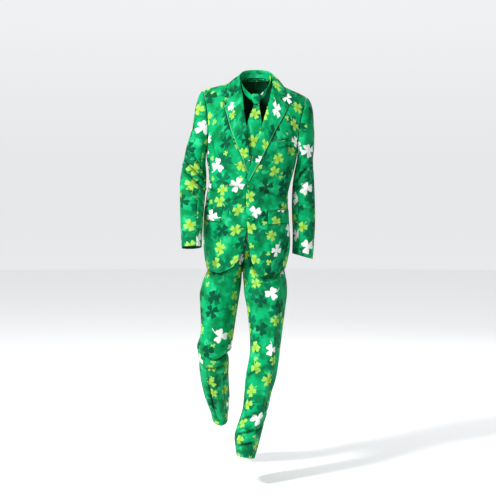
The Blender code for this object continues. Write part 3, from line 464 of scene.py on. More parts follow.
def clovers(n, uv, step, largest, randomness, edge):
    """Scattered clovers: where their ink lies, how far out from the middle, and three chances."""
    found = {}
    for feature in ("F1", "N_SPHERE_RADIUS"):
        node = n.tree.nodes.new("ShaderNodeTexVoronoi")
        node.voronoi_dimensions = "2D"
        node.feature = feature
        n.feed(node.inputs["Vector"], uv)
        node.inputs["Scale"].default_value = 1 / step
        node.inputs["Randomness"].default_value = randomness
        found[feature] = node.outputs
    chances = n.split(found["F1"]["Color"])
    offset = n.vector("SUBTRACT", uv, found["F1"]["Position"])
    parts = n.split(offset)
    room = n.math("MULTIPLY", found["N_SPHERE_RADIUS"]["Radius"], step * ROOM_SHARE)
    # The kinds at both ends of the first chance, dark and white, are printed larger.
    size = n.math("ABSOLUTE", n.math("SUBTRACT", chances["X"], SIZE_MIDDLE))
    size = n.math("MULTIPLY_ADD", size, SIZE_GAIN, SIZE_LEAST)
    radius = n.math("MINIMUM", room, n.math("MULTIPLY", size, largest))
    away = n.vector("LENGTH", offset)
    turned = n.math("ARCTAN2", parts["Y"], parts["X"])
    turned = n.math("MULTIPLY_ADD", chances["Y"], 2 * np.pi, turned)
    leaves = n.math("ADD", 3.0, n.math("GREATER_THAN", chances["Z"], FOUR_LEAVES_ABOVE))
    wave = n.math("COSINE", n.math("MULTIPLY", turned, leaves))
    # Heart-shaped leaves: the outline's distance from the middle as the angle goes round.
    outline = n.math("MULTIPLY_ADD", n.math("MULTIPLY", wave, wave), LEAF_CLEFT,
                     n.math("MULTIPLY_ADD", wave, LEAF_SWING, LEAF_REACH))
    leaf = n.soft_step(n.math("SUBTRACT", n.math("MULTIPLY", outline, radius), away), edge)
    stem_at = n.math("MULTIPLY_ADD", n.math("SUBTRACT", leaves, 3.0), np.pi / 4, np.pi)
    bearing = n.math("SUBTRACT", turned, stem_at)
    down = n.math("MULTIPLY", away, n.math("COSINE", bearing))
    bend = n.math("MULTIPLY", n.math("SUBTRACT", chances["X"], 0.45), STEM_BEND)
    curve = n.math("MULTIPLY", n.math("DIVIDE", n.math("MULTIPLY", down, down), radius), bend)
    across = n.math("MULTIPLY", away, n.math("SINE", bearing))
    across = n.math("ABSOLUTE", n.math("SUBTRACT", across, curve))
    stem = n.soft_step(n.math("SUBTRACT", n.math("MULTIPLY", radius, STEM_HALF), across), INK_EDGE)
    stem = n.math("MULTIPLY", stem, n.math("GREATER_THAN", down, 0.0))
    stem = n.math("MULTIPLY", stem, n.math("LESS_THAN", down, n.math("MULTIPLY", radius, STEM_LENGTH)))
    ink = n.math("MAXIMUM", leaf, stem)
    return ink, n.math("DIVIDE", away, radius), chances


def principled(name, roughness, sheen):
    material = bpy.data.materials.new(name)
    material.use_nodes = True
    shader = material.node_tree.nodes["Principled BSDF"]
    shader.inputs["Roughness"].default_value = roughness
    shader.inputs["Specular IOR Level"].default_value = 0.06
    shader.inputs["Sheen Weight"].default_value = sheen
    shader.inputs["Sheen Roughness"].default_value = 0.45
    return material, shader, Nodes(material.node_tree)


def weave(n, shader, uv, strength):
    """Fine twill and the cloth's slight unevenness as a bump."""
    wave = n.tree.nodes.new("ShaderNodeTexWave")
    wave.wave_type = "BANDS"
    wave.bands_direction = "DIAGONAL"
    wave.inputs["Scale"].default_value = 260.0
    n.feed(wave.inputs["Vector"], uv)
    height = n.math("MULTIPLY_ADD", wave.outputs["Fac"], 0.06, n.noise(uv, 34.0, 3.0))
    bump = n.tree.nodes.new("ShaderNodeBump")
    bump.inputs["Strength"].default_value = strength
    bump.inputs["Distance"].default_value = 0.0022
    n.feed(bump.inputs["Height"], height)
    n.feed(shader.inputs["Normal"], bump.outputs["Normal"])


def flat_cloth_uv(n):
    node = n.tree.nodes.new("ShaderNodeUVMap")
    node.uv_map = "cloth"
    return node.outputs["UV"]


def mottled(n, uv, scale, detail, start, width):
    """Soft blotches: 0 where the noise lies below start, 1 above start and width."""
    return n.soft_step(n.math("SUBTRACT", n.noise(uv, scale, detail), start), width)


def make_print():
    """Green suiting printed with dark, lime and white clovers on a softly mottled ground."""
    material, shader, n = principled("clover_print", 0.72, 0.01)
    uv = flat_cloth_uv(n)
    colour = n.blend(mottled(n, uv, 19.0, 4.0, 0.40, 0.18), GROUND_DEEP, GROUND_BRIGHT)
    pale_uv = n.vector("ADD", uv, (0.7, 0.3, 0.0))
    colour = n.blend(mottled(n, pale_uv, 24.0, 3.0, 0.53, 0.16), colour, GROUND_LIGHT)
    # A softer second scatter lies under the clovers as deep green shadows of leaves.
    shadow_uv = n.vector("ADD", uv, (0.41, 0.23, 0.0))
    shadow, _, chances = clovers(n, shadow_uv, SHADOW_STEP, SHADOW_RADIUS, SHADOW_STRAY, SHADOW_EDGE)
    shadow = n.math("MULTIPLY", shadow, n.math("GREATER_THAN", chances["X"], SHADOW_ABOVE))
    colour = n.blend(n.math("MULTIPLY", shadow, SHADOW_SHARE), colour, CLOVER_SHADE)
    accent_uv = n.vector("ADD", uv, (0.17, 0.09, 0.0))
    accent, _, chances = clovers(n, accent_uv, ACCENT_STEP, ACCENT_RADIUS, ACCENT_STRAY, INK_EDGE)
    accent = n.math("MULTIPLY", accent, n.math("GREATER_THAN", chances["X"], ACCENT_ABOVE))
    colour = n.blend(accent, colour, CLOVER_LIME)
    ink, out, chances = clovers(n, uv, CLOVER_STEP, CLOVER_RADIUS, CLOVER_STRAY, INK_EDGE)
    lime = n.blend(n.soft_step(n.math("SUBTRACT", out, 0.04), 0.55), LIME_MIDDLE, CLOVER_LIME)
    kind = n.blend(n.math("GREATER_THAN", chances["X"], WHITE_ABOVE), lime, CLOVER_WHITE)
    kind = n.blend(n.math("LESS_THAN", chances["X"], DARK_BELOW), kind, CLOVER_DARK)
    colour = n.blend(ink, colour, kind)
    # Painted shade darkens the cloth in its troughs and beside edges that lie over it, and a painted
    # highlight makes it paler along a pressed edge.
    painted_shading = n.attribute("painted_shading")
    # Painted highlight: where the shading is negative, the colour is blended towards a pale green.
    pale = n.math("MAXIMUM", n.math("MULTIPLY", painted_shading, -1.0), 0.0)
    colour = n.blend(n.math("MULTIPLY", pale, EDGE_HIGHLIGHT_SHARE), colour, PAINTED_EDGE_HIGHLIGHT)
    # Painted shade: the cloth's colour is scaled darker where the shading is positive.
    deep = n.math("MAXIMUM", painted_shading, 0.0)
    colour = n.scaled(colour, n.math("MULTIPLY_ADD", deep, -TROUGH_PAINTED_SHADE, 1.0))
    n.feed(shader.inputs["Base Color"], colour)
    weave(n, shader, uv, 0.35)
    return material


def make_plain(name, colour, roughness, sheen):
    """A plain cloth for linings and the backs of pieces."""
    material, shader, n = principled(name, roughness, sheen)
    uv = flat_cloth_uv(n)
    lighter = tuple(min(1.0, c * 1.35) for c in colour[:3]) + (1,)
    n.feed(shader.inputs["Base Color"], n.blend(n.noise(uv, 25.0, 2.0), colour, lighter))
    weave(n, shader, uv, 0.20)
    return material


clover_print = make_print()
lining = make_plain("jacket_lining", LINING, 0.45, 0.0)
trouser_inside = make_plain("trouser_inside", INSIDE, 0.75, 0.0)

# The shells: thickness of the cloth, depth and half width of the dip at a seam, the depths
# between which the painted shade in a trough grows, and the half width of the painted
# highlight along a pressed edge.
WALL = 0.0014
SEAM_DIP = 0.0011
SEAM_HALF = 0.0035
TROUGH_FROM = 0.0002
TROUGH_FULL = 0.0017
PRESSED_HALF = 0.0022


def arc(rows, axis):
    """Lengths along a grid's rows (axis 1) or columns (axis 0), from its first edge."""
    steps = np.linalg.norm(np.diff(rows, axis=axis), axis=-1)
    total = np.cumsum(steps, axis=axis)
    zero = np.zeros_like(np.take(total, [0], axis=axis))
    return np.concatenate([zero, total], axis=axis)


def outward_normals(rows, inside):
    across = np.gradient(rows, axis=1)
    up = np.gradient(rows, axis=0)
    n = np.cross(across, up)
    n = n / np.maximum(np.linalg.norm(n, axis=-1, keepdims=True), 1e-12)
    turned = np.sum(n * (rows - inside)) < 0
    return (-n if turned else n), turned


def strokes(x, z, folds):
    """Heights of soft ridges and troughs, which are given in millimetres."""
    height = np.zeros(x.shape)
    for x0, z0, x1, z1, half, rise in np.array(folds) / 1000:
        run = np.array([x1 - x0, z1 - z0])
        share = np.clip(((x - x0) * run[0] + (z - z0) * run[1]) / (run @ run), 0, 1)
        off = np.hypot(x - x0 - share * run[0], z - z0 - share * run[1])
        swell = 0.30 + 0.70 * np.sin(np.pi * share)
        height = height + rise * np.exp(-(off / half) ** 2) * swell
    return height


def troughs(rows, normal):
    """How deep each point lies in a trough, from 0 to 1: its distance under the smoothed grid.
    It sets how much shade is painted there.
    """
    even = rows.copy()
    for _ in range(10):
        even[1:-1] = (even[:-2] + 2 * even[1:-1] + even[2:]) / 4
        even[:, 1:-1] = (even[:, :-2] + 2 * even[:, 1:-1] + even[:, 2:]) / 4
    depth = np.sum((even - rows) * normal, axis=-1)
    return np.clip((depth - TROUGH_FROM) / TROUGH_FULL, 0, 1)


def stand(name, mesh, *materials):
    """An object of this mesh in the scene, smooth and in these materials."""
    for material in materials:
        mesh.materials.append(material)
    mesh.shade_smooth()
    thing = bpy.data.objects.new(name, mesh)
    bpy.context.scene.collection.objects.link(thing)
    return thing


def shell(name, rows, inside, seams="", height=None, inner=None, shift=(0.0, 0.0), turn=0.0,
          wall=WALL, around=False, laid_flat=None, pressed=""):
    """A thin shell of printed cloth through a grid of points. seams names the edges that are
    sewn down: l and r for the first and last column, b and t for the first and last row;
    pressed names in the same way the turned-under edges that get a painted highlight."""
    rows = np.array(rows, float)
    normal, turned = outward_normals(rows, inside)
    across = arc(rows, 1)
    up = arc(rows, 0)
    dip = np.zeros(rows.shape[:2])
    pale = np.zeros(rows.shape[:2])
    for edge, distance in (("l", across), ("r", across[:, -1:] - across),
                           ("b", up), ("t", up[-1:] - up)):
        if edge in seams:
            dip = dip - SEAM_DIP * np.exp(-(distance / SEAM_HALF) ** 2)
        # A pressed edge gets a painted highlight, kept as negative painted shading.
        if edge in pressed:
            pale = pale + 0.8 * np.exp(-(distance / PRESSED_HALF) ** 2)
    if height is not None:
        dip = dip + height
    rows = rows + normal * dip[..., None]
    # Painted shade in the troughs, less the painted highlight along pressed edges.
    painted_shading = troughs(rows, outward_normals(rows, inside)[0]) - pale
    high, wide = rows.shape[:2]
    middle = wide // 2
    u, v = laid_flat or (across - across[:, middle:middle + 1],
                         np.broadcast_to(up[:, middle:middle + 1], up.shape))
    c, s = np.cos(turn), np.sin(turn)
    flat = np.stack([u * c - v * s + shift[0], u * s + v * c + shift[1]], axis=-1).reshape(-1, 2)
    faces = []
    for i in range(high - 1):
        for j in range(wide if around else wide - 1):
            k = (j + 1) % wide
            face = (i * wide + j, i * wide + k, (i + 1) * wide + k, (i + 1) * wide + j)
            faces.append(face[::-1] if turned else face)
    mesh = bpy.data.meshes.new(name)
    mesh.from_pydata([tuple(p) for p in rows.reshape(-1, 3)], [], faces)
    mesh.update()
    layer = mesh.uv_layers.new(name="cloth")
    corners = np.array([loop.vertex_index for loop in mesh.loops])
    layer.data.foreach_set("uv", flat[corners].astype(np.float32).ravel())
    layer = mesh.attributes.new("painted_shading", "FLOAT", "POINT")
    layer.data.foreach_set("value", painted_shading.astype(np.float32).ravel())
    piece = stand(name, mesh, clover_print, inner or clover_print)
    thick = piece.modifiers.new("wall", "SOLIDIFY")
    thick.thickness = wall
    thick.offset = 0.0
    thick.material_offset = 1
    thick.material_offset_rim = 0
    return piece


def shaded_by(piece, edge, half):
    """Paints shadow on a piece's cloth beside the points of an edge that lies over it."""
    mesh = piece.data
    at = np.empty(len(mesh.vertices) * 3, np.float32)
    mesh.vertices.foreach_get("co", at)
    at = at.reshape(-1, 3)
    gap = np.hypot(at[:, None, 0] - edge[:, 0], at[:, None, 2] - edge[:, 2]).min(axis=1)
    painted_shading = np.empty(len(at), np.float32)
    layer = mesh.attributes["painted_shading"].data
    layer.foreach_get("value", painted_shading)
    # Painted shadow, strongest at the edge and fading over the half width.
    beside = 0.95 * np.exp(-(gap / half) ** 2)
    layer.foreach_set("value", np.maximum(painted_shading, beside).astype(np.float32))


def put(piece, node):
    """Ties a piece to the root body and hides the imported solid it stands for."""
    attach(piece, "root")
    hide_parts(node)


def soften(rows, share_at, reach, times):
    """Rounds off the slight bend where the lower and upper part of a body panel meet."""
    rows = rows.copy()
    weight = np.exp(-((share_at - LOW_SHARE) / reach) ** 2)[1:-1, None, None]
    for _ in range(times):
        rows[1:-1] += weight * 0.5 * (rows[:-2] / 2 + rows[2:] / 2 - rows[1:-1])
    return rows


PANEL_COLUMNS = 72
ROWS_BELOW = 90
ROWS_ABOVE = 60
SOFTEN_REACH = 0.05
SOFTEN_TIMES = 60


def panel_grid(point, side, first_column, short=0.0):
    """The grid of a body panel from the hem to the shoulder, short of it by this share."""
    shares = np.concatenate([np.linspace(0, LOW_SHARE, ROWS_BELOW),
                             np.linspace(LOW_SHARE, 1, ROWS_ABOVE)[1:]])
    shares[-1] -= short
    columns = np.linspace(first_column, 1, PANEL_COLUMNS)
    rows = grid(lambda u, v: point(side, u, v), columns, shares)
    rows = soften(rows, shares, SOFTEN_REACH, SOFTEN_TIMES)
    return rows, stack(-0.02, 0.02, rows[..., 2])


# Folds of the fronts in millimetres: from x, z to x, z, half width, height out of the cloth.
FRONT_FOLDS = {
    "left": [(-4, -424, 100, -462, 9, -1.8), (-2, -412, 110, -425, 8, 1.2),
             (0, -405, 95, -372, 9, -1.6), (0, -548, 60, -500, 9, -1.2),
             (142, -215, 118, -345, 11, -3.2), (122, -190, 102, -320, 11, 2.4),
             (100, -230, 85, -300, 9, -1.2), (52, -570, 46, -745, 18, 1.8),
             (88, -575, 92, -725, 15, -2), (16, -600, 30, -740, 14, -1.4),
             (120, -440, 85, -452, 7, -1.6), (124, -470, 92, -480, 7, 1.2)],
    "right": [(-40, -428, -150, -400, 9, -1.8), (-40, -438, -155, -438, 8.5, 1.2),
              (-40, -450, -140, -482, 9, -1.7), (-45, -548, -100, -505, 9, -1.2),
              (-180, -215, -150, -350, 11, -3.2), (-160, -190, -135, -320, 11, 2.4),
              (-135, -220, -118, -300, 9, -1.2), (-112, -570, -128, -735, 17, 1.8),
              (-160, -570, -172, -735, 15, -2), (-85, -590, -105, -715, 13, -1.4),
              (-186, -425, -150, -440, 7, -1.6), (-190, -455, -155, -466, 7, 1.2)],
}
FRONT_PRINT = {"left": (0.35, 2.11), "right": (1.16, 0.97)}
FOLD_GAIN = 1.7
# Half width of the painted shadow beside an edge that lies over a piece.
LAP_SHADE = 0.0045
# Rows of the front edge, from the hem up, that lie over the trousers, and the first one that
# lies over the other front.
EDGE_ROWS = 60
LAP_ROW = 50
fronts = {}
jacket_edge = {True: [], False: []}
for side in ("left", "right"):
    rows, inside = panel_grid(front_point, side, 0)
    folds = FOLD_GAIN * strokes(rows[..., 0], rows[..., 2], FRONT_FOLDS[side])
    # Each front's edge gets a painted highlight.
    fronts[side] = shell("front_" + side, rows, inside, "r", folds, lining,
                         shift=FRONT_PRINT[side], pressed="l")
    jacket_edge[True] += [rows[:EDGE_ROWS, 0], rows[0]]
    if side == "left":
        lap = rows[LAP_ROW:, 0]
    else:
        # Painted shadow on the right front beside the left front's lapped edge.
        shaded_by(fronts["right"], lap, LAP_SHADE)
    put(fronts[side], "front_" + side)

# Jacket backs: two panels of the same cloth joined by a seam down the middle of the back, from
# the collar to the hem. The photograph hides them, so they are finished plainly, with soft
# creases like the front's.

# Middle of the back above the armpit, and the back of the neck: x, y, z.
BACK_MIDDLE = [(-0.0130, 0.1380, -0.2200), (-0.0080, 0.1340, -0.1450), (-0.0050, 0.1160, -0.0800),
               (-0.0035, 0.0900, -0.0300), (-0.0030, 0.0690, -0.0020)]
BACK_NECK = {
    "left": [(-0.0030, 0.0690, -0.0020), (0.0260, 0.0640, -0.0030), (0.0520, 0.0420, -0.0070),
             (0.0690, 0.0055, -0.0120)],
    "right": [(-0.0030, 0.0690, -0.0020), (-0.0310, 0.0640, -0.0030), (-0.0560, 0.0420, -0.0065),
              (-0.0710, 0.0055, -0.0110)],
}
NECK_SHARE = 0.34
BACK_HEM = -0.760


def back_point(side, u, v):
    """A point of a back: u from the middle to the side, v from the hem to the shoulder."""
    u = np.asarray(u, float)
    v = np.asarray(v, float)
    heights = np.linspace(BACK_HEM, ARMPIT, 9)
    middle_x = body_section(heights)[1]
    edge = np.stack([middle_x, heights], axis=-1)
    side_x, side_z = HEM[side][-1]
    halfway = (mix(middle_x[0], side_x, 0.5), BACK_HEM + 0.005)
    hem = [(middle_x[0], BACK_HEM), halfway, (side_x, side_z)]
    low = low_patch(side, u, np.clip(v / LOW_SHARE, 0, 1), edge, hem, False)
    t = np.clip((v - LOW_SHARE) / (1 - LOW_SHARE), 0, 1)

    def top(f):
        neck = along(BACK_NECK[side], f / NECK_SHARE)
        shoulder = along(SHOULDER[side], (f - NECK_SHARE) / (1 - NECK_SHARE))
        return np.where((f < NECK_SHARE)[..., None], neck, shoulder)

    high = high_patch(side, u, t, middle_x[-1], BACK_MIDDLE, top, 360.0, False)
    return np.where((v < LOW_SHARE)[..., None], low, high)


# Folds of the backs, as the fronts' ones.
BACK_FOLDS = {
    "left": [(10, -60, 90, -130, 16, -1.6), (150, -230, 110, -350, 12, -3),
             (128, -200, 92, -330, 12, 2.2), (15, -430, 110, -450, 10, -2),
             (10, -455, 112, -478, 10, 1.6), (20, -400, 105, -400, 10, -1.4),
             (30, -560, 40, -740, 18, -1.8), (80, -560, 90, -730, 17, 1.8)],
    "right": [(-15, -55, -100, -120, 16, -1.6), (-190, -220, -150, -345, 12, -3),
              (-165, -190, -130, -325, 12, 2.2), (-50, -425, -170, -440, 10, -2),
              (-45, -450, -175, -470, 10, 1.6), (-50, -398, -160, -402, 10, -1.4),
              (-90, -560, -100, -740, 18, -1.8), (-150, -560, -165, -730, 17, 1.8)],
}
BACK_PRINT = {"left": (2.05, 0.55), "right": (2.93, 0.55)}
backs = {}
for side in ("left", "right"):
    rows, inside = panel_grid(back_point, side, 0.0001, 0.0010)
    folds = strokes(rows[..., 0], rows[..., 2], BACK_FOLDS[side])
    backs[side] = shell("back_" + side, rows, inside, "lrt", folds, lining, shift=BACK_PRINT[side])
    jacket_edge[False].append(rows[0])
    put(backs[side], "back_" + side)

# Sleeves: on each arm a top sleeve and a narrower under sleeve, joined by seams at the front and
# the back of the arm and set into the armhole. The crook of the right sleeve is creased deeply.

# Sleeves, one row per section from the armhole to the cuff: outer x and z, inner x and z,
# y of the middle, half depth, and how much the front of the section is raised.
SLEEVE = {
    "right": np.array([
        (-0.2085, -0.0470, -0.1975, -0.2990, 0.008, 0.074, 0.00),
        (-0.2270, -0.0610, -0.1980, -0.3050, 0.009, 0.078, 0.00),
        (-0.2350, -0.1000, -0.1985, -0.3140, 0.010, 0.079, 0.00),
        (-0.2420, -0.1450, -0.1990, -0.3240, 0.012, 0.077, 0.00),
        (-0.2516, -0.1990, -0.1990, -0.3350, 0.012, 0.073, 0.00),
        (-0.2700, -0.2570, -0.1975, -0.3490, 0.010, 0.069, 0.02),
        (-0.2828, -0.3160, -0.1955, -0.3820, 0.005, 0.066, 0.08),
        (-0.2913, -0.3590, -0.1965, -0.4170, -0.003, 0.063, 0.18),
        (-0.2964, -0.4056, -0.2000, -0.4524, -0.017, 0.061, 0.29),
        (-0.2954, -0.4639, -0.2025, -0.4910, -0.040, 0.058, 0.37),
        (-0.2939, -0.5176, -0.2050, -0.5330, -0.064, 0.055, 0.41),
        (-0.2901, -0.5861, -0.2080, -0.5937, -0.091, 0.052, 0.30),
        (-0.2855, -0.6530, -0.2101, -0.6490, -0.115, 0.050, 0.16),
    ]),
    "left": np.array([
        (0.1975, -0.0740, 0.1600, -0.3000, 0.008, 0.074, 0.00),
        (0.2125, -0.0885, 0.1600, -0.3060, 0.010, 0.078, 0.00),
        (0.2190, -0.1180, 0.1590, -0.3140, 0.013, 0.078, 0.00),
        (0.2225, -0.1650, 0.1570, -0.3240, 0.016, 0.076, 0.00),
        (0.2255, -0.2150, 0.1545, -0.3360, 0.020, 0.073, 0.00),
        (0.2245, -0.2680, 0.1510, -0.3530, 0.024, 0.069, 0.00),
        (0.2205, -0.3160, 0.1465, -0.3790, 0.028, 0.066, 0.00),
        (0.2243, -0.3700, 0.1425, -0.4120, 0.032, 0.063, 0.01),
        (0.2268, -0.4250, 0.1400, -0.4520, 0.034, 0.060, 0.02),
        (0.2290, -0.4800, 0.1395, -0.4970, 0.035, 0.057, 0.03),
        (0.2301, -0.5350, 0.1404, -0.5450, 0.036, 0.055, 0.04),
        (0.2285, -0.6050, 0.1430, -0.6000, 0.038, 0.052, 0.05),
        (0.2215, -0.7030, 0.1415, -0.6805, 0.040, 0.050, 0.05),
    ]),
}
# Degrees round the arm that each part of the sleeve takes up.
SLEEVE_SPAN = {"top_sleeve_": (-75.0, 120.0), "under_sleeve_": (120.0, 285.0)}
TUBE_ROUNDNESS = 2.15
# Length of a row of the table, the arm's girth per radian for its folds, the radius at which
# its cloth is laid flat, and how many rows the armhole's shape takes to fade.
SLEEVE_STEP = 0.050
SLEEVE_GIRTH = 0.055
SLEEVE_RADIUS = 0.052
ARMHOLE_ROWS = 2.5
# Folds of the sleeves: from row, degrees to row, degrees, half width, and height.
SLEEVE_FOLDS = {
    "right": [(5.2, 40, 6.3, 165, 0.0085, 0.0080), (5.9, 15, 6.8, 165, 0.0070, -0.0090),
              (6.4, 10, 7.3, 175, 0.0085, 0.0090), (6.9, 20, 7.9, 180, 0.0070, -0.0088),
              (7.5, 40, 8.5, 170, 0.0085, 0.0070), (8.2, 50, 9.1, 150, 0.0080, -0.0056),
              (4.9, 60, 5.8, 150, 0.0080, -0.0056), (6.6, 0, 6.5, 70, 0.0040, -0.0040),
              (7.4, 60, 7.6, 130, 0.0035, -0.0030), (4.6, 30, 5.4, 90, 0.0090, 0.0022),
              (9.4, 70, 9.8, 130, 0.008, -0.0015), (10.6, 20, 11.2, 90, 0.009, 0.0014),
              (2.0, 60, 4.2, 80, 0.012, -0.0016), (1.5, 300, 3.4, 285, 0.012, -0.0016),
              (6.4, 250, 7.0, 320, 0.012, -0.0018), (7.4, 240, 8.0, 310, 0.012, 0.0016),
              (8.6, 250, 9.0, 310, 0.010, -0.0012)],
    "left": [(5.9, 40, 6.6, 150, 0.008, -0.0062), (6.4, 30, 7.1, 140, 0.009, 0.0064),
             (7.0, 30, 7.7, 150, 0.008, -0.0060), (5.3, 60, 6.0, 150, 0.009, 0.0050),
             (7.6, 50, 8.3, 140, 0.009, 0.0040), (6.6, 0, 6.9, 50, 0.005, -0.0034),
             (6.3, 80, 6.9, 150, 0.005, -0.0014), (8.2, 40, 8.6, 120, 0.009, -0.0016),
             (9.5, 40, 9.9, 110, 0.010, 0.0014), (10.7, 60, 11.1, 120, 0.009, -0.0014),
             (2.0, 60, 4.0, 85, 0.012, -0.0018), (1.6, 300, 3.4, 285, 0.012, -0.0016),
             (6.2, 240, 6.8, 310, 0.012, -0.0016), (7.2, 240, 7.7, 310, 0.012, 0.0015)],
}


def folded(points, middles, along_tube, angle, step, girth, folds):
    """The points moved out or in along the folds; step is the length of a row of the table."""
    a = np.radians(angle) * girth
    b = along_tube * step
    height = np.zeros(np.broadcast(a, b).shape)
    for b0, a0, b1, a1, half, rise in folds:
        start = np.array([np.radians(a0) * girth, b0 * step])
        end = np.array([np.radians(a1) * girth, b1 * step])
        run = end - start
        share = ((a - start[0]) * run[0] + (b - start[1]) * run[1]) / (run @ run)
        share = np.clip(share, 0, 1)
        off = np.hypot(a - start[0] - share * run[0], b - start[1] - share * run[1])
        height = height + rise * np.exp(-(off / half) ** 2) * (0.35 + 0.65 * np.sin(np.pi * share))
    out = points - middles
    out = out / np.linalg.norm(out, axis=-1, keepdims=True)
    return points + out * height[..., None]


def tube_ring(row, angle):
    """A section of a sleeve or leg: 0 is its outer side, 90 its front, 180 its inner side."""
    c = power(np.cos(np.radians(angle)), 2 / TUBE_ROUNDNESS)
    s = power(np.sin(np.radians(angle)), 2 / TUBE_ROUNDNESS)
    x = (row[..., 0] + row[..., 2]) / 2 + (row[..., 0] - row[..., 2]) / 2 * c
    z = (row[..., 1] + row[..., 3]) / 2 + (row[..., 1] - row[..., 3]) / 2 * c
    return stack(x, row[..., 4] - row[..., 5] * s, z + row[..., 6] * row[..., 5] * s)


def table_row(table, at):
    """A table's row at a count of rows that needn't be whole."""
    return smooth(at, np.arange(len(table)), table)


def tube_middle(row):
    """The middle of a section of a sleeve or leg."""
    return stack((row[..., 0] + row[..., 2]) / 2, row[..., 4], (row[..., 1] + row[..., 3]) / 2)


def sleeve_point(side, angle, f):
    """A point of a sleeve: f from 0 at the armhole to 1 at the cuff."""
    angle = np.asarray(angle, float)
    at = np.asarray(f, float) * (len(SLEEVE[side]) - 1)
    row = table_row(SLEEVE[side], at)
    loop = armhole(side, angle) + np.array([OUTWARD[side] * 0.0022, 0.0, -0.0012])
    point = mix(loop, tube_ring(row, angle), ease(at / ARMHOLE_ROWS)[..., None])
    return folded(point, tube_middle(row), at, angle, SLEEVE_STEP, SLEEVE_GIRTH, SLEEVE_FOLDS[side])


def unrolled(rows, table):
    """Flat coordinates of a sleeve, round the arm and down it."""
    level = (table[:, 1] + table[:, 3]) / 2
    z = rows[..., 2]
    x = np.interp(z, level[::-1], ((table[:, 0] + table[:, 2]) / 2)[::-1])
    y = np.interp(z, level[::-1], table[::-1, 4])
    turn = np.unwrap(np.arctan2(rows[..., 1] - y, rows[..., 0] - x), axis=1)
    return turn * SLEEVE_RADIUS, -z


SLEEVE_PRINT = {"top_sleeve_left": (4.76, 4.48), "top_sleeve_right": (4.59, 4.26),
                "under_sleeve_left": (4.35, 0.90), "under_sleeve_right": (4.52, 2.19)}
SLEEVE_ROWS = 170
SLEEVE_COLUMNS = 64
for side in ("left", "right"):
    for part, span in SLEEVE_SPAN.items():
        fs = np.linspace(0.0, 1.0, SLEEVE_ROWS)
        angles = np.linspace(*span, SLEEVE_COLUMNS)
        rows = grid(lambda a, f: sleeve_point(side, a, f), angles, fs)
        inside = tube_middle(table_row(SLEEVE[side], fs * (len(SLEEVE[side]) - 1)))[:, None]
        sleeve = shell(part + side, rows, inside, "lrb", inner=lining,
                       shift=SLEEVE_PRINT[part + side], laid_flat=unrolled(rows, SLEEVE[side]))
        put(sleeve, part + side)

# Lapels: the facing of each front, turned back at the roll line from the top button up to the
# gorge seam, and pressed so that it rolls softly before it lies on the chest.

# Lapels: outer edges as (x, z) from the lowest point up to the tip, then the notch.
LAPEL_EDGE = {
    "left": [(-0.0300, -0.4000), (-0.0080, -0.3600), (0.0156, -0.3174), (0.0443, -0.2604),
             (0.0695, -0.2097), (0.0853, -0.1806), (0.1113, -0.1330), (0.1215, -0.1090)],
    "right": [(-0.0240, -0.3830), (-0.0352, -0.3650), (-0.0537, -0.3113), (-0.0698, -0.2751),
              (-0.0855, -0.2352), (-0.1006, -0.1923), (-0.1150, -0.1382), (-0.1275, -0.0960)],
}
LAPEL_FROM = {"left": -0.394, "right": -0.380}
LAPEL_NOTCH = {"left": (0.0892, -0.0836), "right": (-0.0923, -0.0736)}
COLLAR_TIP = {"left": (0.1134, -0.0730), "right": (-0.1157, -0.0580)}
# How far a laid-on piece lies off the front; shares of a lapel's width at which its points
# lie, how far each bulges, and the width from which the bulge is full.
LAID_ON = 0.0025
LAPEL_SHARES = np.array([0.16, 0.38, 0.62, 0.82, 1.0])
LAPEL_BULGE = np.array([0.0, 0.0, 0.0019, 0.0035, 0.0025, 0.0010, 0.0004, 0.0002])
LAPEL_FULL = 0.05


def normals(point, u, v, flip=1.0):
    """The unit normals of a surface."""
    step = 1e-4
    du = point(np.clip(u + step, 0, 1), v) - point(np.clip(u - step, 0, 1), v)
    dv = point(u, np.clip(v + step, 0, 1)) - point(u, np.clip(v - step, 0, 1))
    n = np.cross(du, dv) * flip
    return n / np.linalg.norm(n, axis=-1, keepdims=True)


def locate(point, x, z, u, v):
    """The u and v at which a front has this x and z."""
    x, z, u, v = (np.array(a, float) for a in np.broadcast_arrays(x, z, u, v))
    step = 1e-4
    for _ in range(12):
        here = point(u, v)
        du = (point(u + step, v) - here) / step
        dv = (point(u, v + step) - here) / step
        gap_x = x - here[..., 0]
        gap_z = z - here[..., 2]
        det = du[..., 0] * dv[..., 2] - dv[..., 0] * du[..., 2]
        det = np.where(np.abs(det) < 1e-6, 1e-6, det)
        u = np.clip(u + 0.7 * (gap_x * dv[..., 2] - gap_z * dv[..., 0]) / det, 0.0, 0.999)
        v = np.clip(v + 0.7 * (du[..., 0] * gap_z - du[..., 2] * gap_x) / det, 0.0, 0.999)
    return u, v


def on_front(side, x, z, out):
    """A point this far out from a front, at this x and z."""
    def point(a, b):
        return front_point(side, a, b)

    guess = 0.35 + 0.6 * (np.asarray(z) + 0.70) / 0.70
    u, v = locate(point, x, z, 0.3, np.clip(guess, 0.02, 0.95))
    n = normals(point, u, v, OUTWARD[side])
    return point(u, v) + n * np.asarray(out)[..., None]


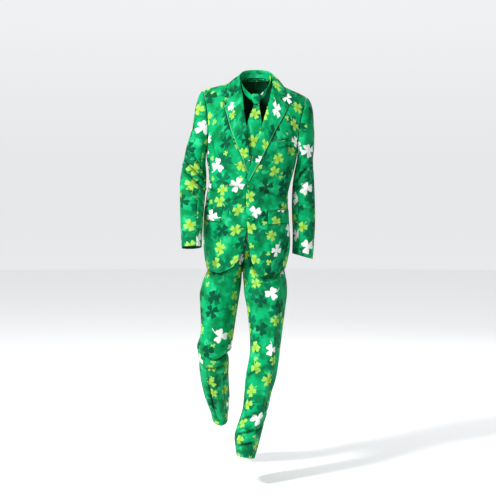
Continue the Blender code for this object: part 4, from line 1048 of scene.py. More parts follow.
def edge_row(side, v, shift, notch, tip):
    """Points from beside the front's edge, round it, and over the front to an outer corner."""
    at_edge = front_point(side, np.array([0.0, 0.04]), np.array([v, v]))
    inward = at_edge[1] - at_edge[0]
    inward = inward / np.linalg.norm(inward)
    roll = at_edge[0, [0, 2]] + shift
    tip = np.array(tip)
    width = np.linalg.norm(tip - roll)
    if notch is None:
        corner = mix(roll, tip, LAPEL_SHARES[:, None])
    else:
        notch = np.array(notch)
        corner = np.array([mix(roll, notch, 0.25), mix(roll, notch, 0.62), notch,
                           mix(notch, tip, 0.5), tip])
    shares = np.array([0.0, 0.0, 0.12])[:, None]
    xz = np.concatenate([mix(roll, corner[0], shares), corner])
    out = LAID_ON + min(1.0, width / LAPEL_FULL) * LAPEL_BULGE
    out[:2] = 0.0
    line = on_front(side, xz[:, 0], xz[:, 1], out)
    away = on_front(side, xz[:1, 0], xz[:1, 1], np.array([1.0]))[0] - line[0]
    away = away / np.linalg.norm(away)
    line[0] = line[0] - inward * 0.0027
    line[1] = line[1] - inward * 0.0024 + away * 0.0026
    return line


def roll_rows(side):
    """How far up the front the lowest point of the lapel and the gorge lie."""
    v = np.linspace(0.3, 0.999, 400)
    line = front_point(side, np.zeros(v.shape), v)
    gorge = ROLL[side][-3][2]
    return np.interp([LAPEL_FROM[side], gorge], line[:, 2], v)


def finer(rows, along_rows, along_columns):
    """A grid with more points, smooth through those of the first one."""
    rows = np.asarray(rows, float)
    high, wide = rows.shape[:2]
    more = smooth(np.linspace(0, high - 1, along_rows), np.arange(high), rows.reshape(high, -1))
    more = more.reshape(along_rows, wide, 3).transpose(1, 0, 2).reshape(wide, -1)
    more = smooth(np.linspace(0, wide - 1, along_columns), np.arange(wide), more)
    return more.reshape(along_columns, along_rows, 3).transpose(1, 0, 2)


LAPEL_STATIONS = 16
LAPEL_PRINT = {"left": (5.3, 1.14), "right": (5.3, 1.53)}
LAPEL_TURN = 0.35
LAPEL_WALL = 0.0012
for side in ("left", "right"):
    low, gorge = roll_rows(side)
    fs = np.linspace(0.0, 1.0, LAPEL_STATIONS)
    outer = along(LAPEL_EDGE[side], fs)
    rows = []
    for i in range(LAPEL_STATIONS):
        notch = LAPEL_NOTCH[side] if i == LAPEL_STATIONS - 1 else None
        rows.append(edge_row(side, mix(low, gorge, fs[i]), 0.0, notch, outer[i]))
    rows = finer(rows, 110, 48)
    inside = stack(0.0, 0.05, rows[..., 2])
    # The lapel's outer edge gets a painted highlight.
    lapel = shell("lapel_" + side, rows, inside, "t", shift=LAPEL_PRINT[side],
                  turn=LAPEL_TURN * OUTWARD[side], wall=LAPEL_WALL, pressed="r")
    # Painted shadow on the front beside the lapel's outer and upper edges.
    shaded_by(fronts[side], rows[:, -1], LAP_SHADE)
    shaded_by(fronts[side], rows[-1], LAP_SHADE)
    put(lapel, "lapel_" + side)

# Collar: one piece of cloth round the neck from notch to notch. Its stand rises from the neck
# seam and its fall turns over and lies on the shoulders and the lapels' upper edge.

# Collar, half of its stations from the gorge to the middle of the back: the roll at the top
# of the stand (x, y, z), then x and y of the outer edge, which lies on the shoulders.
COLLAR = {
    "left": [(0.0607, -0.0510, -0.0434, 0.0892, -0.0660), (0.0640, -0.0280, -0.0130, 0.1090, -0.0300),
             (0.0660, 0.0000, 0.0070, 0.1040, 0.0020), (0.0610, 0.0300, 0.0210, 0.0920, 0.0320),
             (0.0450, 0.0550, 0.0330, 0.0680, 0.0560), (0.0220, 0.0680, 0.0385, 0.0360, 0.0790),
             (-0.0030, 0.0720, 0.0400, -0.0030, 0.0880)],
    "right": [(-0.0600, -0.0510, -0.0407, -0.0923, -0.0620), (-0.0650, -0.0280, -0.0150, -0.1110, -0.0300),
              (-0.0675, 0.0000, 0.0040, -0.1060, 0.0020), (-0.0640, 0.0300, 0.0190, -0.0950, 0.0320),
              (-0.0500, 0.0550, 0.0325, -0.0740, 0.0560), (-0.0280, 0.0680, 0.0385, -0.0420, 0.0790),
              (-0.0030, 0.0720, 0.0400, -0.0030, 0.0880)],
}
# The edge's distance from the panels, the gap to the lapel at the gorge, where the neck seam
# is met behind the shoulders, and the y behind which the edge lies on a back.
COLLAR_OFF = 0.0024
GORGE_GAP = (0.00045, 0.00025)
NECK_SEAM = np.array([0.70, 0.46, 0.24, 0.0])
SHOULDER_LINE = 0.004
# Lift of the stand's foot, drop and width of the roll's two sides, bulge of the fall.
FOOT_LIFT = np.array([0.0, 0.0, 0.0018])
ROLL_DROP = np.array([0.0, 0.0, -0.0016])
ROLL_IN = 0.0020
ROLL_OUT = 0.0030
STAND_IN = 0.0010
FALL_RISE = np.array([0.0, 0.0, 0.0045])
FALL_OUT = 0.0015


def surface_height(side, front, x, y, out):
    """The point this far out from a front or back, at this x and y."""
    panel = front_point if front else back_point

    def swapped(a, b):
        p = panel(side, a, b)
        return p[..., [0, 2, 1]]

    u, v = locate(swapped, np.array([x]), np.array([y]), 0.3, 0.93)
    flip = OUTWARD[side] * (1.0 if front else -1.0)
    n = normals(lambda a, b: panel(side, a, b), u, v, flip)
    return (panel(side, u, v) + n * out)[0]


halves = {}
for side in ("left", "right"):
    gorge_shift = np.array([OUTWARD[side] * GORGE_GAP[0], GORGE_GAP[1]])
    notch = np.array(LAPEL_NOTCH[side]) + gorge_shift
    stations = [edge_row(side, roll_rows(side)[1], gorge_shift, notch, COLLAR_TIP[side])]
    seam = np.concatenate([ROLL[side][-2:], along(BACK_NECK[side], NECK_SEAM)])
    for (x, y, z, edge_x, edge_y), sewn in zip(COLLAR[side][1:], seam):
        foot = sewn + FOOT_LIFT
        top = np.array([x, y, z])
        edge = surface_height(side, edge_y < SHOULDER_LINE, edge_x, edge_y, COLLAR_OFF)
        aside = np.array([edge_x - x, edge_y - y, 0.0])
        aside = aside / np.linalg.norm(aside)
        over = top + aside * ROLL_OUT + ROLL_DROP
        bulge = FALL_RISE + aside * FALL_OUT
        stations.append(np.array([
            foot, mix(foot, top, 0.55) - aside * STAND_IN, top - aside * ROLL_IN + ROLL_DROP, top,
            over, mix(over, edge, 0.33) + bulge, mix(over, edge, 0.70) + bulge * 0.75, edge,
        ]))
    halves[side] = stations
rows = finer(np.array(halves["right"] + halves["left"][:-1][::-1]), 160, 44)
collar = shell("collar", rows, np.array([-0.003, 0.0, -0.14]), "l", inner=lining,
               shift=(5.95, 2.24), turn=1.5, wall=LAPEL_WALL)
# Painted shadow on the fronts and backs beside the collar's outer edge.
for panel in (*fronts.values(), *backs.values()):
    shaded_by(panel, rows[:, -1], LAP_SHADE)
put(collar, "collar")

# Pockets: a flap hangs over each hip pocket and a narrow welt closes the breast pocket, each
# a doubled piece of the same cloth pressed flat on the front.

# Pockets on the fronts: corners as (x, z), top front, top back, bottom back, bottom front.
POCKET_FLAP = {
    "left": [(0.0440, -0.5120), (0.1215, -0.5080), (0.1230, -0.5560), (0.0440, -0.5640)],
    "right": [(-0.1290, -0.5020), (-0.1975, -0.4960), (-0.2010, -0.5440), (-0.1380, -0.5530)],
}
BREAST_WELT = [(0.0790, -0.2480), (0.1280, -0.2360), (0.1290, -0.2590), (0.0800, -0.2710)]


def on_body(turn, z, out):
    """A point this far out from the lower front of the jacket."""
    def ring(a, b):
        return body_ring(a, b, True)

    step = 1e-4
    du = ring(turn + step, z) - ring(turn - step, z)
    dz = ring(turn, z + step) - ring(turn, z - step)
    n = np.cross(du, dz)
    n = n / np.linalg.norm(n, axis=-1, keepdims=True)
    return ring(turn, z) + n * out


def between(corners, u, v):
    """Values between those of four corners, in the order of a pocket's."""
    return mix(mix(corners[0], corners[1], u), mix(corners[3], corners[2], u), v)


def lay(name, side, rows, seams, shift, pressed=""):
    """A pocket piece pressed flat on a front, with painted shadow on the front beside its long edges."""
    piece = shell(name, rows, stack(-0.02, 0.02, rows[..., 2]), seams, shift=shift, pressed=pressed)
    shaded_by(fronts[side], rows[-1], LAP_SHADE)
    shaded_by(fronts[side], rows[0], LAP_SHADE)
    put(piece, name)


FLAP_PRINT = {"left": (6.2, 0.5), "right": (6.2, 0.8)}
FLAP_LIFT = 0.0006
for side, corners in POCKET_FLAP.items():
    x, z = np.array(corners).T
    u, v = np.meshgrid(np.linspace(0, 1, 40), np.linspace(0, 1, 26))
    out = LAID_ON + FLAP_LIFT * v[..., None]
    rows = on_body(between(body_turn(x, z), u, v), between(z, u, v), out)
    lay("pocket_flap_" + side, side, rows, "b", FLAP_PRINT[side])
x, z = np.array(BREAST_WELT).T
u, v = np.meshgrid(np.linspace(0, 1, 26), np.linspace(0, 1, 14))
rows = on_front("left", between(x, u, v), between(z, u, v), np.full(u.shape, LAID_ON))
# The welt's top edge gets a painted highlight.
lay("breast_welt", "left", rows, "", (6.6, 0.5), "b")

# Buttons: two round green buttons sewn to the right front through four eyes. They come
# through the left one, whose stitched holes run from them towards its edge.

# Buttons on the left front: x, z; their radius and thickness.
BUTTONS = {"button_upper": (-0.0205, -0.4190), "button_lower": (-0.0185, -0.5415)}
BUTTON_RADIUS = 0.0100
BUTTON_THICKNESS = 0.0034
# The rim and the shallow dish it goes round, as shares of radius and thickness, from the
# middle of the back round to the front.
BUTTON_PROFILE = [(0.0, -0.5), (0.86, -0.5), (0.97, -0.32), (1.0, 0.0), (0.98, 0.30),
                  (0.91, 0.50), (0.82, 0.50), (0.74, 0.30), (0.60, 0.18), (0.0, 0.12)]
BUTTON_SIDES = 48
BUTTON_SEAT = 0.0018
BUTTON_GREEN = (0.001, 0.260, 0.080, 1)
BUTTON_DEEP = tuple(c * 0.7 for c in BUTTON_GREEN[:3]) + (1,)
# Half width of the painted shadow ring round each button on the front.
BUTTON_SHADE = 0.0025
EYE_RADIUS = 0.0009
EYE_DEPTH = 0.0006
EYE_FROM_MIDDLE = 0.0021
HOLE_START = 0.006
HOLE_LENGTH = 0.0200
HOLE_THREAD = 0.0011
HOLE_RISE = 0.0006
HOLE_OFF = 0.0010
HOLE_SIDES = 8
THREAD_DEEP = (0.16, 0.52, 0.24, 1)
THREAD_PALE = (0.42, 0.72, 0.40, 1)


def make_speckled(name, roughness, deep, pale, scale, detail):
    """A plain finish whose colour wavers finely between two greens."""
    material, shader, n = principled(name, roughness, 0.0)
    where = n.tree.nodes.new("ShaderNodeTexCoord").outputs["Object"]
    n.feed(shader.inputs["Base Color"], n.blend(n.noise(where, scale, detail), deep, pale))
    return material


def button_mesh(name):
    """A turned button with four small raised dots at its eyes, its front towards +z."""
    mesh = bpy.data.meshes.new(name)
    shape = bmesh.new()
    rings = []
    for r, h in BUTTON_PROFILE:
        angles = np.linspace(0, 2 * np.pi, BUTTON_SIDES if r else 1, endpoint=False)
        rings.append([shape.verts.new((r * BUTTON_RADIUS * np.cos(a), r * BUTTON_RADIUS * np.sin(a),
                                       h * BUTTON_THICKNESS)) for a in angles])
    for lower, upper in zip(rings[:-1], rings[1:]):
        for j in range(BUTTON_SIDES):
            k = (j + 1) % BUTTON_SIDES
            if len(lower) == 1:
                shape.faces.new((lower[0], upper[k], upper[j]))
            elif len(upper) == 1:
                shape.faces.new((lower[j], lower[k], upper[0]))
            else:
                shape.faces.new((lower[j], lower[k], upper[k], upper[j]))
    for a in np.arange(4) * np.pi / 2 + np.pi / 4:
        at = (EYE_FROM_MIDDLE * np.cos(a), EYE_FROM_MIDDLE * np.sin(a), EYE_DEPTH)
        bmesh.ops.create_cone(shape, cap_ends=True, segments=12, radius1=EYE_RADIUS,
                              radius2=EYE_RADIUS / 1.5, depth=EYE_DEPTH, matrix=Matrix.Translation(at))
    shape.to_mesh(mesh)
    shape.free()
    return mesh


def hole_mesh(name, x, z):
    """A thin flat bar of thread from beside a button towards the front's edge."""
    t = np.linspace(0, 1, 24)
    path = on_front("left", x + HOLE_START - HOLE_LENGTH * t, z + HOLE_RISE * t,
                    np.full(t.shape, HOLE_OFF))
    ring = []
    for a in np.linspace(0, 2 * np.pi, HOLE_SIDES, endpoint=False):
        ring.append(path + np.array([0.0, -0.0006 * np.cos(a), HOLE_THREAD * np.sin(a)]))
    points = np.stack(ring, axis=1).reshape(-1, 3)
    last = len(points) - HOLE_SIDES
    faces = [tuple(range(HOLE_SIDES))[::-1], tuple(range(last, len(points)))]
    for i in range(0, last, HOLE_SIDES):
        for j in range(HOLE_SIDES):
            k = (j + 1) % HOLE_SIDES
            faces.append((i + j, i + k, i + HOLE_SIDES + k, i + HOLE_SIDES + j))
    mesh = bpy.data.meshes.new(name)
    mesh.from_pydata([tuple(p) for p in points], [], faces)
    mesh.update()
    return mesh


button_green = make_speckled("button_green", 0.38, BUTTON_DEEP, BUTTON_GREEN, 220.0, 2.0)
thread = make_speckled("buttonhole_thread", 0.6, THREAD_DEEP, THREAD_PALE, 900.0, 1.0)
for name, (x, z) in BUTTONS.items():
    outs = np.array([0.0, BUTTON_SEAT + BUTTON_THICKNESS / 2])
    base, seat = on_front("left", np.array([x, x]), np.array([z, z]), outs)
    button = stand(name, button_mesh(name), button_green)
    button.location = Vector(seat)
    button.rotation_euler = Vector(seat - base).to_track_quat("Z", "Y").to_euler()
    turn = np.linspace(0, 2 * np.pi, 24)
    rim = stack(x + BUTTON_RADIUS * np.cos(turn), 0.0, z + BUTTON_RADIUS * np.sin(turn))
    # Painted shadow on the left front round the button's rim.
    shaded_by(fronts["left"], rim, BUTTON_SHADE)
    put(button, name)
    hole = stand(name + "_hole", hole_mesh(name + "_hole", x, z), thread)
    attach(hole, "root")

# Trousers: a front and a back for each leg, cut in one from the waist to the hem and joined at
# the side, the inside leg and the middle. They are creased at the knees and break above the hems.

# Legs, one row per section from the crotch to the hem: the same columns as the sleeves.
LEG = {
    "right": np.array([
        (-0.1905, -0.7450, -0.0570, -0.7450, 0.0110, 0.098, 0.00),
        (-0.2105, -0.7900, -0.0592, -0.7900, 0.0130, 0.101, 0.00),
        (-0.2211, -0.8350, -0.0655, -0.8350, 0.0120, 0.100, 0.00),
        (-0.2196, -0.8900, -0.0741, -0.8900, 0.0080, 0.094, 0.00),
        (-0.2168, -0.9450, -0.0827, -0.9450, 0.0040, 0.088, 0.00),
        (-0.2196, -1.0000, -0.0909, -1.0000, 0.0030, 0.084, -0.02),
        (-0.2320, -1.0400, -0.0995, -1.0400, 0.0100, 0.083, -0.10),
        (-0.2280, -1.0700, -0.1150, -1.0700, 0.0220, 0.083, -0.22),
        (-0.2260, -1.1020, -0.1090, -1.1020, 0.0420, 0.083, -0.34),
        (-0.2232, -1.1600, -0.1110, -1.1600, 0.0790, 0.082, -0.44),
        (-0.2137, -1.2180, -0.1094, -1.2180, 0.1130, 0.080, -0.48),
        (-0.2011, -1.2660, -0.1074, -1.2660, 0.1430, 0.079, -0.50),
        (-0.1871, -1.3080, -0.1110, -1.3120, 0.1690, 0.078, -0.40),
        (-0.1793, -1.3500, -0.1156, -1.3600, 0.1880, 0.078, -0.26),
    ]),
    "left": np.array([
        (0.1090, -0.7450, -0.0540, -0.7450, 0.0030, 0.098, 0.00),
        (0.1170, -0.7900, -0.0505, -0.7900, -0.0100, 0.101, 0.02),
        (0.1182, -0.8343, -0.0469, -0.8343, -0.0290, 0.102, 0.06),
        (0.1108, -0.8887, -0.0367, -0.8887, -0.0500, 0.096, 0.10),
        (0.1034, -0.9426, -0.0300, -0.9426, -0.0700, 0.090, 0.14),
        (0.0958, -0.9963, -0.0253, -0.9963, -0.0880, 0.086, 0.16),
        (0.0890, -1.0505, -0.0252, -1.0505, -0.1000, 0.083, 0.16),
        (0.0832, -1.0972, -0.0328, -1.0972, -0.1080, 0.080, 0.14),
        (0.0735, -1.1534, -0.0427, -1.1534, -0.1150, 0.078, 0.13),
        (0.0548, -1.2133, -0.0476, -1.2133, -0.1220, 0.077, 0.13),
        (0.0437, -1.2690, -0.0539, -1.2690, -0.1300, 0.077, 0.13),
        (0.0284, -1.3209, -0.0709, -1.3209, -0.1370, 0.078, 0.13),
        (0.0170, -1.3653, -0.0841, -1.3653, -0.1430, 0.079, 0.13),
        (0.0049, -1.4094, -0.0813, -1.4050, -0.1500, 0.080, 0.13),
        (-0.0076, -1.4520, -0.0764, -1.4400, -0.1550, 0.079, 0.13),
    ]),
}
# Hips of the trousers, from the waist down to the crotch: height, x of the right side,
# x of the left side, x of the middle, y of the front, y of the side seams, y of the back.
HIPS = np.array([
    (-0.745, -0.1905, 0.1090, -0.0555, -0.0960, 0.006, 0.112),
    (-0.700, -0.1945, 0.1150, -0.0480, -0.0965, 0.006, 0.114),
    (-0.640, -0.1985, 0.1220, -0.0410, -0.0960, 0.005, 0.112),
    (-0.570, -0.1945, 0.1190, -0.0380, -0.0945, 0.004, 0.101),
    (-0.490, -0.1790, 0.1080, -0.0360, -0.0900, 0.003, 0.085),
    (-0.450, -0.1745, 0.1040, -0.0350, -0.0890, 0.003, 0.082),
])
# Heights of the waist and the crotch, and the height at which the legs have become the hips.
WAIST = -0.490
CROTCH = -0.745
RISE_FROM = -0.630
HIP_ROUNDNESS = 2.3
LEG_STEP = 0.052
LEG_GIRTH = 0.070
# Half width of the painted shadow on the trousers beside the jacket's edges.
HEM_SHADE = 0.0075
# Folds of the legs, as the sleeves' ones.
LEG_FOLDS = {
    "right": [(5.9, 50, 6.5, 120, 0.011, 0.0060), (6.5, 110, 6.1, 185, 0.010, 0.0076),
              (6.4, 20, 7.15, 110, 0.0075, -0.0075), (7.15, 95, 6.7, 168, 0.0085, -0.0085),
              (7.3, 40, 7.7, 105, 0.009, 0.0056), (7.6, 100, 7.25, 165, 0.010, 0.0060),
              (8.0, 50, 7.8, 150, 0.0070, -0.0056), (8.0, 68, 12.0, 78, 0.0080, -0.0090),
              (8.2, 96, 12.8, 102, 0.010, 0.0080), (8.4, 132, 12.6, 138, 0.0095, -0.0085),
              (6.8, 290, 7.2, 240, 0.016, -0.0040), (7.6, 300, 7.9, 250, 0.016, 0.0035),
              (6.5, 90, 6.7, 160, 0.006, -0.0020), (7.3, 60, 7.4, 130, 0.006, 0.0022),
              (8.6, 40, 10.6, 50, 0.009, 0.0020), (9.0, 90, 12.2, 94, 0.006, -0.0016),
              (1.0, 60, 2.6, 110, 0.012, -0.0020), (1.6, 60, 3.4, 100, 0.012, 0.0016),
              (0.2, 100, 1.0, 170, 0.012, -0.0026), (0.7, 90, 1.7, 165, 0.012, 0.0020),
              (10.6, 240, 11.0, 300, 0.014, -0.0022), (11.4, 240, 11.9, 300, 0.014, 0.0020),
              (12.3, 60, 12.6, 120, 0.008, -0.0018)],
    "left": [(0.3, 61, 14.0, 66, 0.020, 0.0060), (0.3, 61, 14.0, 66, 0.006, 0.0028),
             (0.3, 32, 14.0, 38, 0.020, -0.0050), (11.0, 70, 11.3, 160, 0.010, 0.0066),
             (11.4, 30, 11.9, 150, 0.0080, -0.0085), (12.1, 40, 12.5, 150, 0.0090, 0.0075),
             (12.5, 50, 12.9, 130, 0.0080, -0.0066), (10.4, 90, 10.8, 170, 0.0080, -0.0050),
             (7.4, 90, 7.9, 170, 0.0090, -0.0050), (6.9, 80, 7.2, 160, 0.0090, 0.0045),
             (11.6, 300, 11.9, 220, 0.015, -0.0040),
             (11.5, 70, 11.3, 140, 0.006, -0.0022), (12.2, 40, 12.1, 110, 0.006, 0.0022),
             (12.8, 80, 12.7, 150, 0.006, -0.0020), (10.3, 60, 10.5, 120, 0.010, -0.0022),
             (9.5, 90, 9.8, 150, 0.010, 0.0018), (5.6, 60, 5.9, 130, 0.012, -0.0026),
             (6.3, 50, 6.6, 120, 0.012, 0.0020), (7.0, 70, 7.1, 140, 0.011, -0.0020),
             (0.2, 110, 1.2, 175, 0.012, -0.0028), (0.8, 100, 2.0, 165, 0.012, 0.0022),
             (5.8, 230, 6.2, 300, 0.014, -0.0024), (6.8, 230, 7.1, 300, 0.014, 0.0020),
             (12.4, 230, 12.6, 300, 0.012, 0.0028)],
}
HIP_ROWS = 6
LEG_ROWS = 25


def leg_point(side, angle, at):
    """A point of a leg below the crotch: at counts the rows of its table."""
    row = table_row(LEG[side], at)
    angle = np.asarray(angle, float)
    wrapped = np.where(angle < -60, angle + 360, angle)
    ring = tube_ring(row, angle)
    return folded(ring, tube_middle(row), at, wrapped, LEG_STEP, LEG_GIRTH, LEG_FOLDS[side])


def hip_point(side, share, z, front):
    """A point of the trousers above the crotch: share 0 at the side seam, 1 at the middle."""
    row = smooth(z, HIPS[:, 0], HIPS[:, 1:])
    side_x = row[..., 1] if side == "left" else row[..., 0]
    middle_x = row[..., 2]
    far = row[..., 3] if front else row[..., 5]
    turn = share * np.pi / 2
    c = np.cos(turn) ** (2 / HIP_ROUNDNESS)
    s = np.sin(turn) ** (2 / HIP_ROUNDNESS)
    hip = stack(middle_x + (side_x - middle_x) * c, row[..., 4] + (far - row[..., 4]) * s, z)
    crotch = LEG[side][0]
    turn = share * np.pi
    c = power(np.cos(turn), 2 / TUBE_ROUNDNESS)
    s = power(np.sin(turn), 2 / TUBE_ROUNDNESS)
    reach = crotch[5] * (-1 if front else 1)
    leg = stack((side_x + middle_x) / 2 + (side_x - middle_x) / 2 * c, crotch[4] + reach * s, z)
    drawn_in = ease((z - CROTCH) / (RISE_FROM - CROTCH))
    return mix(leg, hip, drawn_in[..., None])


def leg_rows(side, row):
    """The row of the leg's table that a panel's row lies at."""
    return np.clip((row - HIP_ROWS) / LEG_ROWS, 0, 1) * (len(LEG[side]) - 1)


def trouser_point(side, share, row, front):
    """A point of a trouser panel: row from 0 at the waist, HIP_ROWS at the crotch, to the hem."""
    share, row = np.broadcast_arrays(np.asarray(share, float), np.asarray(row, float))
    z = mix(WAIST, CROTCH, np.clip(row / HIP_ROWS, 0, 1))
    hip = hip_point(side, share, z, front)
    leg = leg_point(side, share * 180.0 * (1 if front else -1), leg_rows(side, row))
    return np.where((row < HIP_ROWS)[..., None], hip, leg)


TROUSER_PRINT = {"trouser_front_left": (7.64, 3.21), "trouser_front_right": (7.98, 3.58),
                 "trouser_back_left": (8.40, 0.31), "trouser_back_right": (8.40, 1.80)}
# A panel's columns, which stop just short of its seams, and its rows.
TROUSER_COLUMNS = np.linspace(0.0005, 0.9995, 60)
TROUSER_ROWS = np.concatenate([np.linspace(0.003, HIP_ROWS, 44),
                               np.linspace(HIP_ROWS, HIP_ROWS + LEG_ROWS, 150)[1:]])
for side in ("left", "right"):
    for part, front in (("trouser_front_", True), ("trouser_back_", False)):
        rows = grid(lambda s, r: trouser_point(side, s, r, front), TROUSER_COLUMNS, TROUSER_ROWS)
        middle = tube_middle(table_row(LEG[side], leg_rows(side, TROUSER_ROWS)))[:, None]
        leg = shell(part + side, rows, middle, "lr", inner=trouser_inside,
                    shift=TROUSER_PRINT[part + side])
        # Painted shadow on the trousers beside the jacket's hem and, in front, its cut-away edges.
        shaded_by(leg, np.concatenate(jacket_edge[front]), HEM_SHADE)
        put(leg, part + side)

# Waistband: a stiff doubled band of the same cloth, sewn round the top of the trousers. The
# jacket hides it, so it is plain.

WAISTBAND_TOP = -0.452
shares = np.linspace(0, 1, 30)
loops = []
for z in np.linspace(WAISTBAND_TOP, WAIST + 0.0002, 10):
    level = np.full(shares.shape, z)
    # Left front, right front, right back, left back; two of the four run the other way.
    quarters = (("left", True, 1), ("right", True, -1), ("right", False, 1), ("left", False, -1))
    loops.append(np.concatenate([hip_point(side, shares, level, front)[::way][:-1]
                                 for side, front, way in quarters]))
band = shell("waistband", loops, np.array([-0.036, 0.0, -0.47]), inner=trouser_inside,
             shift=(9.4, 0.3), wall=0.0022, around=True)
put(band, "waistband")

# Tie: a blade, a knot and a band round the neck, all of the suit's own cloth. The blade hangs
# from the knot behind the closed fronts, and the band lies inside the jacket's collar.

# Tie blade, from the knot down: height, x and y of the middle, half width.
TIE_BLADE = np.array([
    (-0.1046, 0.0002, -0.0850, 0.0105), (-0.1240, -0.0022, -0.0900, 0.0135),
    (-0.1460, -0.0045, -0.0945, 0.0207), (-0.1700, -0.0070, -0.0990, 0.0262),
    (-0.1940, -0.0103, -0.1025, 0.0295), (-0.2400, -0.0145, -0.1060, 0.0320),
    (-0.3000, -0.0205, -0.1070, 0.0335), (-0.3600, -0.0265, -0.1055, 0.0350),
    (-0.4120, -0.0310, -0.1015, 0.0360), (-0.4450, -0.0330, -0.0990, 0.0030),
])
# Tie knot, from its top down: height, x and y of the middle, half width, half depth.
TIE_KNOT = np.array([
    (-0.0640, -0.0033, -0.0700, 0.0135, 0.0075), (-0.0700, -0.0033, -0.0725, 0.0175, 0.0100),
    (-0.0800, -0.0030, -0.0765, 0.0190, 0.0115), (-0.0900, -0.0018, -0.0800, 0.0155, 0.0110),
    (-0.1000, -0.0003, -0.0835, 0.0115, 0.0090), (-0.1040, 0.0000, -0.0850, 0.0105, 0.0070),
])
# Tie neckband, half of its stations from the knot to the back: x, y, z of its middle.
TIE_BAND = [(0.0180, -0.0705, -0.0770), (0.0360, -0.0560, -0.0600), (0.0520, -0.0310, -0.0370),
            (0.0590, 0.0020, -0.0140), (0.0560, 0.0310, 0.0030), (0.0390, 0.0540, 0.0140),
            (0.0190, 0.0645, 0.0180), (0.0000, 0.0672, 0.0190)]
TIE_BAND_MIDDLE = -0.0033
TIE_BAND_HALF_HEIGHT = 0.0110
# The blade's edges lie back a little; the pinch under its knot: depth, half width, the height
# it has faded at and the length it takes to fade.
BLADE_BOW = 0.0012
BLADE_BOW_AT = 0.035
PINCH_DEPTH = 0.0016
PINCH_HALF = 0.006
PINCH_END = -0.180
PINCH_FADE = 0.060
KNOT_ROUNDNESS = 2.6
# Folds of the knot's wrapped cloth, as the fronts' ones.
KNOT_FOLDS = [(-16, -78, 6, -103, 2.2, -1.1), (12, -70, -4, -100, 2.2, -0.7)]
last = len(TIE_BLADE) - 1
t = np.linspace(0, last, 90)
height, x, y, _ = table_row(TIE_BLADE, t).T[:, :, None]
half = np.interp(t, np.arange(last + 1), TIE_BLADE[:, 3])[:, None]
across = np.linspace(-1.0, 1.0, 30)
rows = stack(x + half * across, y + BLADE_BOW * across ** 2 * (half / BLADE_BOW_AT) ** 2, height)
pinch = -PINCH_DEPTH * np.exp(-((rows[..., 0] - x) / PINCH_HALF) ** 2)
pinch = pinch * ease((rows[..., 2] - PINCH_END) / PINCH_FADE)
blade = shell("tie_blade", rows, stack(0.0, 0.05, rows[..., 2]), height=pinch, shift=(9.93, 1.24),
              wall=0.0018)
put(blade, "tie_blade")
last = len(TIE_KNOT) - 1
t = np.linspace(0, last, 40)
height, x, y, half, deep = table_row(TIE_KNOT, t).T[:, :, None]
# The knot's top and bottom are drawn in, so that it closes over the band and the blade.
drawn = np.sqrt(np.clip(np.minimum(t + 0.02, last - t + 0.02) / 0.5, 0, 1))[:, None]
angles = np.radians(np.linspace(0, 360, 49)[:-1])
c = power(np.cos(angles), 2 / KNOT_ROUNDNESS)
s = power(np.sin(angles), 2 / KNOT_ROUNDNESS)
rows = stack(x + half * c * (0.6 + 0.4 * drawn), y - deep * s * drawn, height)
wrap = strokes(rows[..., 0], rows[..., 2], KNOT_FOLDS)
knot = shell("tie_knot", rows, np.array([-0.002, -0.079, -0.084]), height=wrap,
             shift=(10.36, 0.47), wall=0.0010, around=True)
put(knot, "tie_knot")
stations = np.array(TIE_BAND)
other = stations[:-1][::-1] * np.array([-1, 1, 1])
path = np.concatenate([stations, other]) + np.array([TIE_BAND_MIDDLE, 0.0, 0.0])
path = along(path, np.linspace(0, 1, 120))
rows = [path + np.array([0, 0, h * TIE_BAND_HALF_HEIGHT]) for h in np.linspace(-1.0, 1.0, 12)]
band = shell("tie_neckband", rows, np.array([-0.003, 0.0, -0.03]), shift=(10.76, 0.43), wall=0.0020)
put(band, "tie_neckband")

# Studio: a pale floor under the raised suit, a pale surround that is dimmer in front and on the
# suit's left, a soft lamp in front on its right and weaker ones for the other sides.
# The camera stands as in the photograph.

FLOOR_LEVEL = -1.550
FLOOR_GLOW = 0.16
CAMERA_AT = (-0.033, -5.0, -0.4485)
CAMERA_DOWN = 2.4
CAMERA_FOCAL = 1282
PHOTO_SIDE = 496
# Lamps: place, where it points, width, power and colour.
LAMPS = {
    "key": ((-3.1, -2.8, 2.8), (0, 0, -0.60), 0.9, 390.0, (1.0, 0.985, 0.96)),
    "front_fill": ((1.2, -4.6, 0.4), (0, 0, -0.7), 2.2, 4.0, (1, 1, 1)),
    "back_light": ((2.2, 3.4, 1.6), (0, 0, -0.5), 1.6, 40.0, (1, 1, 1)),
}
# The surround's strength: level, what it gains above and loses on the left and in front, least.
GLOW = 0.82
GLOW_ABOVE = 0.10
GLOW_LEFT = -0.45
GLOW_FRONT = -0.42
GLOW_LEAST = 0.14


def make_stage_material(name, colour, roughness):
    material = bpy.data.materials.new(name)
    material.use_nodes = True
    n = Nodes(material.node_tree)
    shader = material.node_tree.nodes["Principled BSDF"]
    shader.inputs["Roughness"].default_value = roughness
    where = n.tree.nodes.new("ShaderNodeTexCoord").outputs["Object"]
    paler = tuple(min(1.0, c * 1.01) for c in colour[:3]) + (1,)
    n.feed(shader.inputs["Base Color"], n.blend(n.noise(where, 0.6, 1.0), colour, paler))
    shader.inputs["Emission Color"].default_value = colour
    shader.inputs["Emission Strength"].default_value = FLOOR_GLOW
    return material


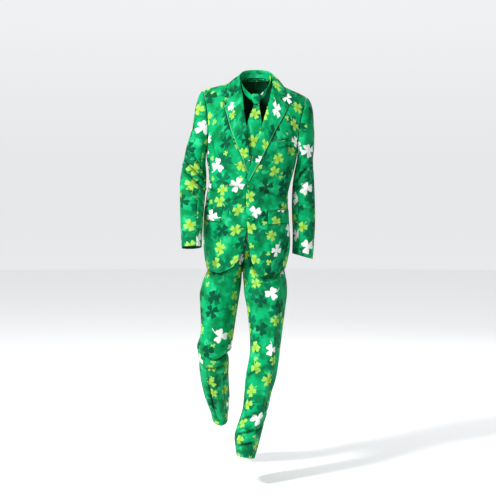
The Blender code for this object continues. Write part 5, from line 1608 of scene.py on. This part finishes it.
def lamp(name, at, towards, size, power_watts, colour):
    data = bpy.data.lights.new(name, "AREA")
    data.shape = "DISK"
    data.size = size
    data.energy = power_watts
    data.color = colour
    light = bpy.data.objects.new(name, data)
    bpy.context.scene.collection.objects.link(light)
    light.location = at
    light.rotation_euler = (Vector(towards) - Vector(at)).to_track_quat("-Z", "Y").to_euler()


mesh = bpy.data.meshes.new("floor")
shape = bmesh.new()
bmesh.ops.create_circle(shape, cap_ends=True, segments=96, radius=14.0)
shape.to_mesh(mesh)
shape.free()
mesh.materials.append(make_stage_material("floor_white", (0.90, 0.905, 0.91, 1), 0.90))
floor = bpy.data.objects.new("floor", mesh)
bpy.context.scene.collection.objects.link(floor)
floor.location = (0, 0, FLOOR_LEVEL)
floor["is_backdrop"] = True

world = bpy.data.worlds.new("studio")
world.use_nodes = True
background = world.node_tree.nodes["Background"]
background.inputs["Color"].default_value = (0.97, 0.98, 1.0, 1)
n = Nodes(world.node_tree)
towards = n.split(n.tree.nodes.new("ShaderNodeTexCoord").outputs["Generated"])
left = n.soft_step(n.math("SUBTRACT", towards["X"], 0.22), 0.60)
front = n.soft_step(n.math("SUBTRACT", 0.30, towards["Y"]), 0.90)
high = n.soft_step(n.math("ABSOLUTE", towards["Z"]), 0.20)
glow = n.math("MULTIPLY_ADD", high, GLOW_ABOVE, GLOW)
glow = n.math("MULTIPLY_ADD", front, GLOW_FRONT, glow)
glow = n.math("MULTIPLY_ADD", left, GLOW_LEFT, glow)
n.feed(background.inputs["Strength"], n.math("MAXIMUM", glow, GLOW_LEAST))
bpy.context.scene.world = world
for name, settings in LAMPS.items():
    lamp(name, *settings)

data = bpy.data.cameras.new("camera")
data.angle = 2 * np.arctan(PHOTO_SIDE / 2 / CAMERA_FOCAL)
camera = bpy.data.objects.new("camera", data)
bpy.context.scene.collection.objects.link(camera)
camera.location = CAMERA_AT
camera.rotation_euler = (np.radians(90 - CAMERA_DOWN), 0, 0)
bpy.context.scene.camera = camera
bpy.context.scene.view_settings.view_transform = "Standard"

low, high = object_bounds()
